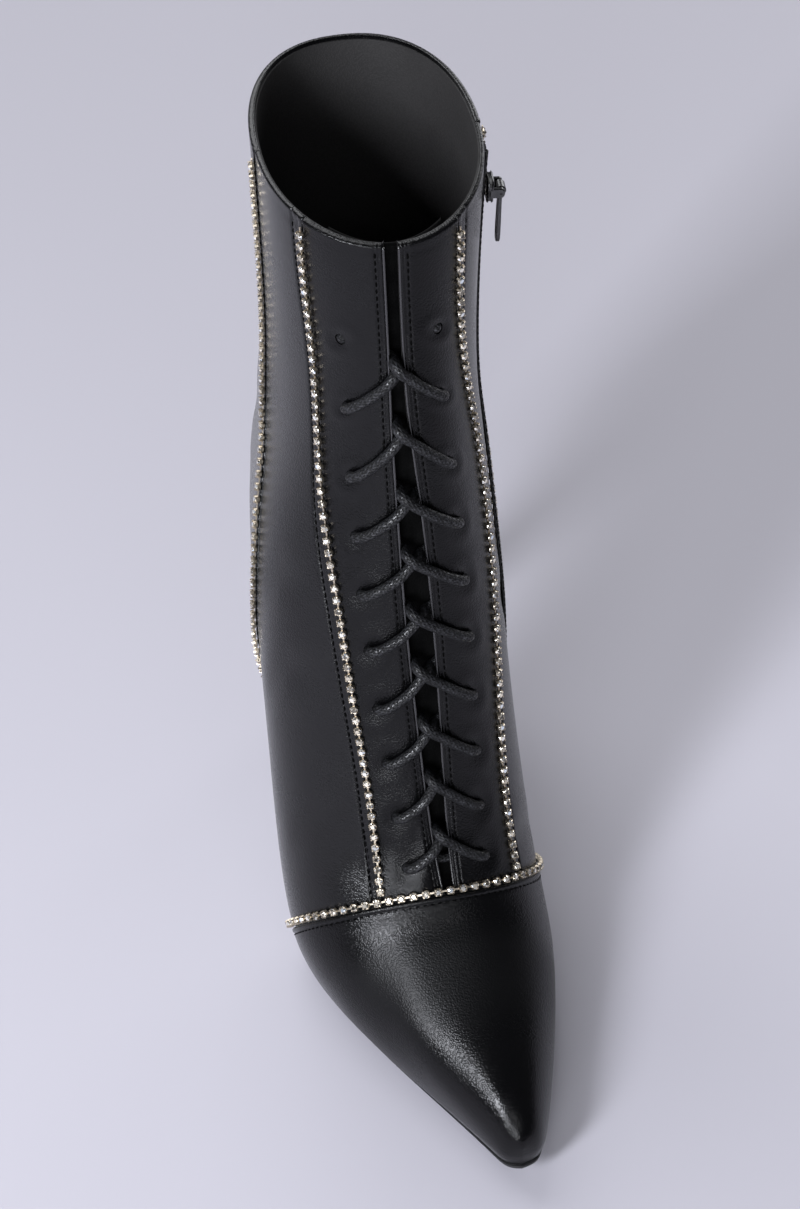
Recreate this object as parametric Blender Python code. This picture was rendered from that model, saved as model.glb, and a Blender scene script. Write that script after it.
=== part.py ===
# Right-foot stiletto bootie: leather upper on a pointed last, lace-up front, stone chain trims, inside zip.
# Sizes are millimetres on the last: x from the back of the heel to the toe, +y to the inside of the foot, z up.
import functools
import math

import bmesh
import bpy
import numpy as np
from mathutils import Matrix, Vector

MM = 0.001

# Where the part's origin lies on the last.
FRAME_X = 122.88
FRAME_Y = -4.04

# Wall, seats and panel steps.
WALL = 1.8
SEAT_GAP = 0.4
PANEL_STEP = 0.5
STEP_HALF = 0.5

# The toe seam, and how far it swings back on each side.
TOE_SEAM = 8.12
SEAM_SLOT = 0.03
SWEEP_REACH = 1.6
LATERAL_SWEEP = 0.00005
MEDIAL_SWEEP = 0.0002

# Soles.
SOLE_LIP = 0.8
SOLE_THICK = 3.4
WAIST_THICK = 2.2
INSOLE_THICK = 2.0
INSOLE_RAISE = 0.25
BREAST_STATION = 15.3
HEEL_LIP = 0.3
TOP_PIECE_Z = 6.0

# Laces, chains, tongue and zip.
LACE_R = 1.55
LACE_SIDES = 7
LACE_RISE = 0.55
LACE_OVER = 1.8
HOLE_R = 1.7
HOLE_INSET_MEDIAL = 11.5
HOLE_INSET_LOW = 9.5
HOLE_INSET_HIGH = 15.0
CHAIN_WIDTH = 2.7
CHAIN_LOW = 0.95
CHAIN_HIGH = 2.6
TONGUE_HALF = 24.0
TONGUE_DROP = 2.75
TONGUE_THICK = 1.4
ZIP_AHEAD = 9.0
ZIP_WIDTH = 6.6
ZIP_LOW = 0.45
ZIP_HIGH = 1.3
SLIDER_STATION = 23.2
SLIDER_LONG = 8.0
SLIDER_WIDE = 7.4
SLIDER_THICK = 2.0
PIN_R = 0.6
PULL_EYE_R = 0.95
PULL_BARREL_R = 1.6
PULL_WIDE = 3.8
PULL_LONG = 18.0
PULL_THICK = 1.2

# The last: one row for each section, from the toe tip to the collar. A section runs straight in side view from the
# crown line to the feather line, or to the back line where both sides have met.
LAST_COLUMNS = (
    "station crown_x crown_y crown_z feather_x feather_z"
    " lateral medial feather_lateral feather_medial widest fullness"
)
LAST_ROWS = (
    (0, 238.5, 10.0, 19.5, 239.5, 10.5, 10.0, 10.0, 10.0, 10.0, 0.70, 0.60),
    (1, 236.2, 9.8, 23.6, 237.6, 10.0, 4.9, 15.9, 5.8, 15.0, 0.72, 0.60),
    (2, 230.4, 8.8, 27.5, 232.0, 8.6, 1.2, 19.2, 2.5, 17.9, 0.73, 0.60),
    (4, 212.6, 5.6, 34.0, 210.0, 4.9, -11.4, 26.2, -9.6, 24.5, 0.74, 0.60),
    (6, 190.8, 2.8, 42.0, 178.0, 3.4, -30.4, 33.8, -28.4, 31.9, 0.73, 0.60),
    (7, 179.2, 1.9, 47.8, 160.5, 3.6, -38.8, 36.3, -36.6, 34.2, 0.72, 0.60),
    (8, 167.6, 1.7, 55.8, 144.5, 5.8, -43.6, 36.8, -40.2, 33.0, 0.71, 0.58),
    (9, 157.2, 2.2, 70.0, 131.0, 13.2, -45.2, 36.2, -39.0, 28.6, 0.70, 0.57),
    (10, 148.8, 2.9, 87.5, 119.0, 25.0, -45.4, 35.2, -34.2, 24.4, 0.68, 0.56),
    (12, 136.2, 3.9, 120.8, 98.5, 55.0, -44.8, 33.2, -26.0, 20.4, 0.64, 0.54),
    (14, 126.4, 4.2, 151.0, 75.5, 86.5, -43.8, 32.0, -25.2, 23.2, 0.60, 0.53),
    (16, 117.2, 3.4, 180.6, 38.5, 105.6, -40.0, 32.0, -26.0, 25.0, 0.58, 0.54),
    (18, 109.8, 2.0, 205.0, 15.2, 110.0, -35.0, 32.0, -27.0, 26.5, 0.57, 0.55),
    (19, 106.8, 1.4, 214.4, 9.0, 120.0, -33.3, 31.4, -29.0, 28.6, 0.56, 0.55),
    (20, 104.0, 0.9, 223.4, 6.2, 136.0, -32.0, 31.0, -31.0, 30.2, 0.55, 0.55),
    (22, 98.5, 0.3, 243.0, 10.5, 191.0, -30.6, 30.8, -30.6, 30.8, 0.53, 0.55),
    (24, 94.5, 0.0, 264.0, 5.0, 264.0, -31.4, 32.4, -31.4, 32.4, 0.50, 0.55),
)
CLOSED_STATION = 18.0
# How far ahead of the back line the sides start to turn in, at the heel seat and at the collar, and how squarely.
SEAT_TURN = 33.0
COLLAR_TURN = 44.75
TURN_POWER = 2.3
# Stations over which the sections give way to the upright counter, and how it tucks in to the seat.
COUNTER_STATIONS = (12.8, 15.2)
WAIST_STATION = 11.0
TUCK_REACH = 12.0
TUCK_STEEP = 2.0
TUCK_POWER = 2.2
COLLAR_STATION = 24.0

# Front lines, as distances round the upper from its crown line: minus is the outside, plus the inside of the foot.
FRONT_COLUMNS = "station gap_lateral gap_medial chain_lateral chain_medial"
FRONT_ROWS = (
    (8.1, -1.5, 2.0, -20.5, 25.5),
    (10.0, -4.8, 0.8, -22.3, 23.8),
    (12.0, -7.2, 0.1, -25.8, 24.8),
    (14.0, -8.4, -0.6, -28.2, 26.6),
    (16.0, -7.8, -1.1, -31.0, 28.8),
    (18.0, -6.5, -1.4, -32.8, 27.8),
    (21.0, -4.5, -0.6, -31.0, 21.5),
    (24.0, -4.0, 0.0, -29.0, 20.0),
)

# The back panel's edge, as distances from the crown line on each side.
BACK_COLUMNS = "station lateral medial"
BACK_ROWS = (
    (11.6, 104.6, 88.6),
    (12.4, 94.3, 79.1),
    (13.2, 86.0, 71.0),
    (14.0, 78.5, 64.5),
    (15.0, 73.5, 61.5),
    (16.0, 73.5, 64.5),
    (17.0, 76.5, 70.2),
    (18.0, 79.5, 75.5),
    (20.0, 79.0, 77.2),
    (22.0, 69.1, 68.8),
    (24.0, 60.0, 60.7),
)
BACK_FIRST = 11.6
BACK_SHARE_AHEAD = 0.95
# Where the columns of the back panel lie in side view, closer together as it turns round the heel.
BACK_SHARES = (0.0, 0.35, 0.62, 0.82, 0.94)

# Pairs of lace holes, from the toe seam upwards.
HOLE_STATIONS = (8.65, 9.6, 10.65, 11.8, 13.1, 14.35, 15.6, 17.05, 19.15, 21.25)

# The heel below the seat: one row for each level.
HEEL_COLUMNS = "level breast_x back_x half_width"
HEEL_ROWS = (
    (6.3, 38.6, 28.4, 5.0),
    (30.0, 38.8, 27.0, 5.6),
    (50.0, 39.8, 25.4, 6.8),
    (65.0, 42.0, 23.6, 8.8),
    (77.0, 44.6, 21.5, 12.2),
    (86.0, 47.6, 19.3, 16.8),
    (93.0, 50.2, 17.2, 21.2),
)
HEEL_SEAT_STATIONS = (15.45, 15.8, 16.2, 16.6, 17.0, 17.35, 17.65, 17.88, 18.0)

UPPER_STATIONS = (
    0, 0.4, 1, 1.6, 2.4, 3.2, 4, 5, 6, 7, 7.6, TOE_SEAM - SEAM_SLOT, TOE_SEAM + SEAM_SLOT,
    8.5, 9, 9.5, 10, 10.6, 11.2, 11.8, 12.4, 13, 13.6, 14.2, 14.6, 15, 15.4, 15.8, 16.2,
    16.6, 17, 17.4, 17.7, 17.9, 18, 18.5, 19, 19.6, 20.3, 21, 21.8, 22.6, 23.3, 24,
)


class Table:
    # A natural cubic curve through each column of a table, read at any station.
    def __init__(self, columns, rows):
        data = np.array(rows, float)
        self.names = columns.split()[1:]
        self.station = data[:, 0]
        self.value = data[:, 1:]
        step = np.diff(self.station)
        slope = np.diff(self.value, axis=0) / step[:, None]
        system = np.eye(len(data))
        target = np.zeros_like(self.value)
        for i in range(1, len(data) - 1):
            system[i, i - 1:i + 2] = step[i - 1], 2 * (step[i - 1] + step[i]), step[i]
            target[i] = 6 * (slope[i] - slope[i - 1])
        self.bend = np.linalg.solve(system, target)

    def at(self, station):
        i = int(np.clip(np.searchsorted(self.station, station) - 1, 0, len(self.station) - 2))
        step = self.station[i + 1] - self.station[i]
        b = (station - self.station[i]) / step
        a = 1 - b
        value = a * self.value[i] + b * self.value[i + 1]
        value = value + ((a**3 - a) * self.bend[i] + (b**3 - b) * self.bend[i + 1]) * step**2 / 6
        return dict(zip(self.names, value))


LAST = Table(LAST_COLUMNS, LAST_ROWS)
FRONT = Table(FRONT_COLUMNS, FRONT_ROWS)
BACK = Table(BACK_COLUMNS, BACK_ROWS)
SIDES = {-1: "lateral", 1: "medial"}


def smooth(value, low, high):
    share = min(max((value - low) / (high - low), 0), 1)
    return share * share * (3 - 2 * share)


def bezier(corners, share):
    share = share[:, None]
    rest = 1 - share
    a, b, c, d = np.array(corners, float)
    return rest**3 * a + 3 * rest**2 * share * b + 3 * rest * share**2 * c + share**3 * d


@functools.lru_cache(maxsize=None)
def back_line():
    # The height and x of the back, from the heel seat to the collar.
    rows = [LAST.at(station) for station in np.linspace(CLOSED_STATION, COLLAR_STATION, 121)]
    return np.array([(row["feather_z"], row["feather_x"]) for row in rows]).T


def turn_in(x, z):
    # The share of the side's width that is left as it turns in to the back.
    height, back = back_line()
    reach = np.interp(z, (height[0], height[-1]), (SEAT_TURN, COLLAR_TURN))
    share = np.clip((np.interp(z, height, back) + reach - x) / reach, 0, 1)
    return (1 - share**TURN_POWER) ** (1 / TURN_POWER)


@functools.lru_cache(maxsize=None)
def seat_line():
    # The x and height of the feather line, from the back of the seat to the waist.
    rows = [LAST.at(station) for station in np.linspace(CLOSED_STATION, WAIST_STATION, 81)]
    return np.array([(row["feather_x"], row["feather_z"]) for row in rows]).T


def tucked(x, z, wide, edge):
    # The side's width where the counter stands upright and tucks in to the seat by its height above it.
    reach = TUCK_REACH + TUCK_STEEP * abs(wide - edge)
    share = np.clip((z - np.interp(x, *seat_line())) / reach, 0, 1)
    return wide + (edge - wide) * (1 - share) ** TUCK_POWER


@functools.lru_cache(maxsize=None)
def half_section(station, side):
    # Points from the crown to the feather line or the back, and their distances from the crown.
    row = LAST.at(station)
    wide = row[SIDES[side]]
    edge = row["feather_" + SIDES[side]]
    crown = row["crown_y"]
    at_wide = row["widest"]
    below = 1 - at_wide
    taper = smooth(station, 9, 12)
    share = np.linspace(0, 1, 33)
    bulge = (0, crown + row["fullness"] * (wide - crown))
    upper = bezier(((0, crown), bulge, (0.45 * at_wide, wide), (at_wide, wide)), share)
    hold = (at_wide + (0.5 - 0.1 * taper) * below, wide)
    turn = (1 - (0.35 + 0.1 * taper) * below, edge + (0.75 - 0.2 * taper) * (wide - edge))
    lower = bezier(((at_wide, wide), hold, turn, (1, edge)), np.sin(share * math.pi / 2))
    plane = np.vstack([upper, lower[1:]])
    x = row["crown_x"] + plane[:, 0] * (row["feather_x"] - row["crown_x"])
    z = row["crown_z"] + plane[:, 0] * (row["feather_z"] - row["crown_z"])
    y = plane[:, 1]
    upright = smooth(station, *COUNTER_STATIONS)
    if upright > 0:
        seat = LAST.at(min(station, CLOSED_STATION))
        ratio = seat["feather_" + SIDES[side]] / seat[SIDES[side]]
        below_wide = np.arange(len(y)) >= len(share)
        y = np.where(below_wide, y + upright * (tucked(x, z, wide, wide * ratio) - y), y)
        y = y * turn_in(x, z)
    if station >= CLOSED_STATION:
        y[-1] = 0
    points = np.column_stack([x, y, z])
    step = np.linalg.norm(np.diff(points, axis=0), axis=1)
    return points, np.concatenate([[0], np.cumsum(step)])


def side_of(arc):
    return -1 if arc < 0 else 1


def length(station, side):
    return half_section(station, side)[1][-1]


def on_last(station, arc):
    points, distance = half_section(station, side_of(arc))
    return np.array([np.interp(abs(arc), distance, points[:, i]) for i in range(3)])


def swept(station, arc):
    # Rows near the toe seam swing back towards the sole on both sides, and keep their share of the section.
    side = side_of(arc)
    sway = LATERAL_SWEEP if side < 0 else MEDIAL_SWEEP
    moved = station + sway * arc**2 * math.exp(-(((station - TOE_SEAM) / SWEEP_REACH) ** 2))
    return moved, arc * length(moved, side) / length(station, side)


def on_upper(station, arc):
    return on_last(*swept(station, arc))


def unit(vector):
    return vector / np.linalg.norm(vector)


def frame_on_upper(station, arc):
    # A point of the upper with its outward normal and the direction of rising station.
    side = side_of(arc)
    low = max(station - 0.05, 0.01)
    high = min(station + 0.05, COLLAR_STATION)
    inside = side * min(abs(arc), length(station, side) - 1)
    along = on_upper(high, inside) - on_upper(low, inside)
    across = on_upper(station, inside + 0.5) - on_upper(station, inside - 0.5)
    return on_upper(station, arc), unit(np.cross(across, along)), unit(along)


def lifted(station, arc, lift):
    point, normal, _ = frame_on_upper(station, arc)
    return point + normal * lift


def material(name, color, roughness, metallic=0.0):
    made = bpy.data.materials.new(name)
    made.use_nodes = True
    shader = made.node_tree.nodes["Principled BSDF"]
    shader.inputs["Base Color"].default_value = (*color, 1)
    shader.inputs["Roughness"].default_value = roughness
    shader.inputs["Metallic"].default_value = metallic
    return made


def add_object(name, points, faces, finish):
    mesh = bpy.data.meshes.new(name)
    mesh.from_pydata([tuple(float(c) * MM for c in p) for p in points], [], faces)
    mesh.materials.append(finish)
    mesh.validate()
    made = bpy.data.objects.new(name, mesh)
    bpy.context.scene.collection.objects.link(made)
    made.parent = bpy.data.objects["bootie"]
    return made


def hide(helper):
    helper.hide_render = True
    helper.display_type = "WIRE"


def grid_faces(rows, columns, first=0):
    faces = []
    for i in range(rows - 1):
        for j in range(columns - 1):
            corner = first + i * columns + j
            faces.append((corner, corner + 1, corner + columns + 1, corner + columns))
    return faces


def welded(points, faces, values):
    # Joins points that coincide, and drops the sides that this closes.
    found = {}
    kept = []
    index = []
    for i, point in enumerate(points):
        key = tuple(np.round(point, 3) + 0.0)
        if key not in found:
            found[key] = len(kept)
            kept.append(i)
        index.append(found[key])
    joined = []
    for face in faces:
        corners = []
        for i in face:
            if index[i] not in corners:
                corners.append(index[i])
        if len(corners) > 2:
            joined.append(tuple(corners))
    return np.array(points)[kept], joined, np.array(values)[kept]


def sheet_normals(points, faces):
    normals = np.zeros_like(points)
    for face in faces:
        corners = points[list(face)]
        turn = np.zeros(3)
        for i in range(1, len(face) - 1):
            turn += np.cross(corners[i] - corners[0], corners[i + 1] - corners[0])
        normals[list(face)] += turn
    return normals / np.linalg.norm(normals, axis=1)[:, None]


def sheet_solid(points, faces, outer, inner):
    # A sheet with a thickness: an outer and an inner skin, and a rim along every open edge.
    normals = sheet_normals(points, faces)
    skin = points + normals * np.asarray(outer)[:, None]
    lining = points + normals * np.asarray(inner)[:, None]
    count = len(points)
    edges = {}
    for face in faces:
        for a, b in zip(face, face[1:] + face[:1]):
            edges[a, b] = edges.get((a, b), 0) + 1
    solid = list(faces)
    solid += [tuple(i + count for i in reversed(face)) for face in faces]
    solid += [(b, a, a + count, b + count) for a, b in edges if (b, a) not in edges]
    return np.vstack([skin, lining]), solid


def ring_solid(rings):
    # A loft through closed rings with flat caps.
    count = len(rings[0])
    points = np.vstack(rings)
    faces = []
    for i in range(len(rings) - 1):
        for j in range(count):
            k = (j + 1) % count
            faces.append((i * count + j, i * count + k, (i + 1) * count + k, (i + 1) * count + j))
    last = (len(rings) - 1) * count
    faces.append(tuple(reversed(range(count))))
    faces.append(tuple(range(last, last + count)))
    return points, faces


def outward(made):
    # Turns every face of a closed mesh outwards.
    mesh = bmesh.new()
    mesh.from_mesh(made.data)
    bmesh.ops.recalc_face_normals(mesh, faces=mesh.faces)
    mesh.to_mesh(made.data)
    mesh.free()
    return made


def gap_edge(station, side):
    if station <= TOE_SEAM:
        seam = FRONT.at(TOE_SEAM)
        return 0.5 * (seam["gap_lateral"] + seam["gap_medial"]) * station / TOE_SEAM
    return FRONT.at(station)["gap_" + SIDES[side]]


def chain_edge(station, side):
    if station <= TOE_SEAM:
        share = FRONT.at(TOE_SEAM)["chain_" + SIDES[side]] / length(TOE_SEAM, side)
        return length(station, side) * (0.32 * side + (share - 0.32 * side) * station / TOE_SEAM)
    return FRONT.at(station)["chain_" + SIDES[side]]


def back_edge(station, side):
    if station < BACK_FIRST:
        return side * BACK_SHARE_AHEAD * length(station, side)
    return side * BACK.at(station)[SIDES[side]]


def toward_end(station, arc, share):
    # The distance that lies, in side view, a share of the way from one place to the end of the section.
    side = side_of(arc)
    points, distance = half_section(station, side)
    fall = np.hypot(points[:, 0] - points[0, 0], points[:, 2] - points[0, 2])
    start = np.interp(abs(arc), distance, fall)
    return side * np.interp(start + (fall[-1] - start) * share, fall, distance)


def upper_columns(station, side):
    # Distances and panel steps from the front opening to the feather line or the back.
    edge = gap_edge(station, side)
    chain = chain_edge(station, side)
    back = back_edge(station, side)
    end = side * length(station, side)
    half = side * min(STEP_HALF, 0.02 * abs(end))
    cap = PANEL_STEP * (station < TOE_SEAM)
    facing = PANEL_STEP
    counter = max(cap, PANEL_STEP * smooth(station, 11.6, 12.4))
    columns = [(edge + (chain - half - edge) * i / 3, facing) for i in range(4)]
    columns += [(chain + half + (back - chain - 2 * half) * i / 4, cap) for i in range(5)]
    columns += [(toward_end(station, back + half, share), counter) for share in BACK_SHARES]
    # Leather is skived away where it turns under at the feather line.
    columns.append((end, counter * smooth(station, CLOSED_STATION, CLOSED_STATION + 1)))
    return columns if side > 0 else columns[::-1]


def upper_sheet():
    points = []
    faces = []
    steps = []
    for side in SIDES:
        first = len(points)
        for station in UPPER_STATIONS:
            columns = upper_columns(station, side)
            points += [on_upper(station, arc) for arc, _ in columns]
            steps += [step for _, step in columns]
        faces += grid_faces(len(UPPER_STATIONS), len(columns), first)
    return welded(points, faces, steps)


def hole_arc(index, side):
    edge = gap_edge(HOLE_STATIONS[index], side)
    if side > 0:
        return edge + HOLE_INSET_MEDIAL
    share = index / (len(HOLE_STATIONS) - 1)
    return edge - HOLE_INSET_LOW - (HOLE_INSET_HIGH - HOLE_INSET_LOW) * share


def tube_rings(path, radius, sides):
    path = np.array(path)
    rings = []
    across = None
    for i, point in enumerate(path):
        along = unit(path[min(i + 1, len(path) - 1)] - path[max(i - 1, 0)])
        if across is None:
            across = np.cross(along, (0.3, 0.2, 0.9))
        across = unit(across - along * np.dot(across, along))
        other = np.cross(along, across)
        turns = [2 * math.pi * j / sides for j in range(sides)]
        rings.append([point + radius * (math.cos(t) * across + math.sin(t) * other) for t in turns])
    return rings


def add_upper():
    points, faces, steps = upper_sheet()
    solid, sides = sheet_solid(points, faces, steps, np.full(len(points), -WALL))
    upper = add_object("upper", solid, sides, material("black_leather", (0.012, 0.012, 0.013), 0.36))
    cut_points = []
    cut_faces = []
    for index, station in enumerate(HOLE_STATIONS):
        for side in SIDES:
            arc = hole_arc(index, side)
            path = [lifted(station, arc, lift) for lift in (-WALL - 1.5, PANEL_STEP + 1.5)]
            hole, hole_faces = ring_solid(tube_rings(path, HOLE_R, 8))
            cut_faces += [tuple(i + len(cut_points) for i in face) for face in hole_faces]
            cut_points += list(hole)
    punch = outward(add_object("lace_hole_punch", cut_points, cut_faces, upper.data.materials[0]))
    hide(punch)
    cut = upper.modifiers.new("lace holes", "BOOLEAN")
    cut.operation = "DIFFERENCE"
    cut.object = punch


def add_tongue():
    stations = [7.4] + [s for s in UPPER_STATIONS if s > 7.5 and s < 23.8] + [23.7]
    points = []
    for station in stations:
        middle = 0.5 * (gap_edge(station, -1) + gap_edge(station, 1))
        half = TONGUE_HALF * (0.75 + 0.25 * smooth(station, 7.4, 10))
        points += [on_upper(station, middle + half * j / 4) for j in range(-4, 5)]
    faces = grid_faces(len(stations), 9)
    points, faces, _ = welded(points, faces, np.zeros(len(points)))
    outer = np.full(len(points), -TONGUE_DROP)
    solid, sides = sheet_solid(points, faces, outer, outer - TONGUE_THICK)
    add_object("tongue", solid, sides, material("tongue_leather", (0.008, 0.008, 0.009), 0.5))


def feather_point(station, side):
    return half_section(station, side)[0][-1]


def sole_normal(station):
    low = feather_point(max(station - 0.05, 0), 1)
    high = feather_point(min(station + 0.05, CLOSED_STATION), 1)
    return unit(np.array([high[2] - low[2], 0, low[0] - high[0]]))


def feather(station, side, out):
    # A point of the feather line, moved outwards in plan and kept on the slope of the sole.
    low = feather_point(max(station - 0.02, 0.0), side)
    high = feather_point(min(station + 0.02, CLOSED_STATION), side)
    along = np.array([high[0] - low[0], high[1] - low[1], 0])
    move = unit(np.cross(along, (0, 0, side))) * out
    slope = sole_normal(station)
    move[2] = -move[0] * slope[0] / slope[2]
    return feather_point(station, side) + move


def add_insole():
    stations = np.concatenate([[0.45, 0.7], np.arange(1, 17.6, 0.5), [17.7, 17.85]])
    rings = []
    for station in stations:
        up = sole_normal(station)
        low = [feather(station, side, -WALL - 0.6) + up * INSOLE_RAISE for side in SIDES]
        top = [point + up * INSOLE_THICK for point in low]
        rings.append([low[0], low[1], top[1], top[0]])
    solid, sides = ring_solid(rings)
    outward(add_object("insole", solid, sides, material("insole_lining", (0.03, 0.028, 0.027), 0.7)))


def add_outsole():
    stations = np.concatenate([[0, 0.3, 0.6], np.arange(1, 15.1, 0.5), [BREAST_STATION]])
    rings = []
    for station in stations:
        drop = sole_normal(station)
        thick = SOLE_THICK + (WAIST_THICK - SOLE_THICK) * smooth(station, 8, 11)
        top = [feather(station, side, SOLE_LIP) - drop * SEAT_GAP for side in SIDES]
        if station == 0:
            top = [top[0] - np.array([0, 1.2, 0]), top[1] + np.array([0, 1.2, 0])]
        bottom = [point - drop * thick for point in top]
        for point in bottom:
            point[2] = max(point[2], 0)
        rings.append([bottom[0], bottom[1], top[1], top[0]])
    solid, sides = ring_solid(rings)
    outward(add_object("outsole", solid, sides, material("sole_edge", (0.01, 0.01, 0.01), 0.42)))


def heel_ring(level, breast_x, back_x, half_width):
    count = 2 * len(HEEL_SEAT_STATIONS) - 1
    turns = np.linspace(-math.pi / 2, math.pi / 2, count)
    x = breast_x - (breast_x - back_x) * np.cos(turns)
    return np.column_stack([x, half_width * np.sin(turns), np.full(count, level)])


def add_heel():
    finish = material("heel_cover", (0.012, 0.012, 0.013), 0.3)
    rings = [heel_ring(*row) for row in HEEL_ROWS]
    seat = [feather(s, -1, HEEL_LIP) for s in HEEL_SEAT_STATIONS]
    seat += [feather(s, 1, HEEL_LIP) for s in HEEL_SEAT_STATIONS[-2::-1]]
    rings.append(np.array(seat) - np.array([0, 0, SEAT_GAP]))
    count = len(seat)
    points, faces = ring_solid(rings)
    # The seat is dished, so strips across it close the top in place of one flat cap.
    faces.pop()
    top = len(points) - count
    for i in range(count // 2 - 1):
        faces.append((top + i, top + i + 1, top + count - 2 - i, top + count - 1 - i))
    middle = count // 2
    faces.append((top + middle - 1, top + middle, top + middle + 1))
    outward(add_object("heel", points, faces, finish))

    low = HEEL_ROWS[0]
    lift = [heel_ring(level, low[1] + 0.2, low[2] - 0.2, low[3] + 0.2) for level in (0, TOP_PIECE_Z)]
    solid, sides = ring_solid(lift)
    outward(add_object("heel_top_piece", solid, sides, material("top_piece_rubber", (0.02, 0.02, 0.02), 0.6)))


def add_laces():
    finish = material("waxed_lace", (0.014, 0.014, 0.014), 0.45)
    low = PANEL_STEP + SEAT_GAP + LACE_R
    for index in range(len(HOLE_STATIONS) - 1):
        start = HOLE_STATIONS[index]
        rise = LACE_RISE * (HOLE_STATIONS[index + 1] - start)
        bars = []
        for side in (-1, 1):
            first = hole_arc(index, side) - side * 1.2
            last = gap_edge(start + rise, -side) - side * 2.0
            path = []
            for k in range(7):
                share = k / 6
                over = LACE_OVER * smooth(share, 0.25, 0.8) if side > 0 else 0
                station = start + rise * smooth(share, -0.3, 1.1)
                path.append(lifted(station, first + (last - first) * share, low + over))
            name = f"lace_cross_{index + 1:02d}" if side < 0 else f"lace_over_{index + 1:02d}"
            solid, sides = ring_solid(tube_rings(path, LACE_R, LACE_SIDES))
            bars.append(outward(add_object(name, solid, sides, finish)))
        under, over_bar = bars
        hide(over_bar)
        join = under.modifiers.new("joined where they cross", "BOOLEAN")
        join.operation = "UNION"
        join.object = over_bar


def add_strip(name, line, width, low, high, finish):
    # A flat strip that follows a line of (station, distance) over the upper.
    frames = [frame_on_upper(station, arc) for station, arc in line]
    points = np.array([point for point, _, _ in frames])
    rings = []
    for i, (point, normal, _) in enumerate(frames):
        along = unit(points[min(i + 1, len(points) - 1)] - points[max(i - 1, 0)])
        across = unit(np.cross(normal, along)) * width / 2
        corners = ((-1, low), (1, low), (1, high), (-1, high))
        rings.append([point + across * s + normal * lift for s, lift in corners])
    solid, sides = ring_solid(rings)
    return outward(add_object(name, solid, sides, finish))


def add_chains():
    finish = material("stone_chain", (0.78, 0.76, 0.72), 0.18, 0.8)
    ends = [side * (length(TOE_SEAM, side) - 4.0) for side in (-1, 1)]
    arcs = np.linspace(ends[0], ends[1], 32)
    add_strip("chain_toe_seam", [(TOE_SEAM, a) for a in arcs], CHAIN_WIDTH, CHAIN_LOW, CHAIN_HIGH, finish)
    for side, word in SIDES.items():
        stations = np.linspace(TOE_SEAM + 0.2, COLLAR_STATION - 0.12, 29)
        line = [(s, chain_edge(s, side)) for s in stations]
        add_strip(f"chain_front_{word}", line, CHAIN_WIDTH, CHAIN_LOW, CHAIN_HIGH, finish)
        stations = np.linspace(BACK_FIRST + 0.25, COLLAR_STATION - 0.12, 29)
        line = [(s, back_edge(s, side)) for s in stations]
        add_strip(f"chain_back_{word}", line, CHAIN_WIDTH, CHAIN_LOW, CHAIN_HIGH, finish)


def zip_arc(station):
    return back_edge(station, 1) - ZIP_AHEAD


def box(low, high):
    points = [(x, y, z) for z in (low[2], high[2]) for y in (low[1], high[1]) for x in (low[0], high[0])]
    faces = [(0, 2, 3, 1), (4, 5, 7, 6), (0, 1, 5, 4), (2, 6, 7, 3), (0, 4, 6, 2), (1, 3, 7, 5)]
    return points, faces


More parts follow.
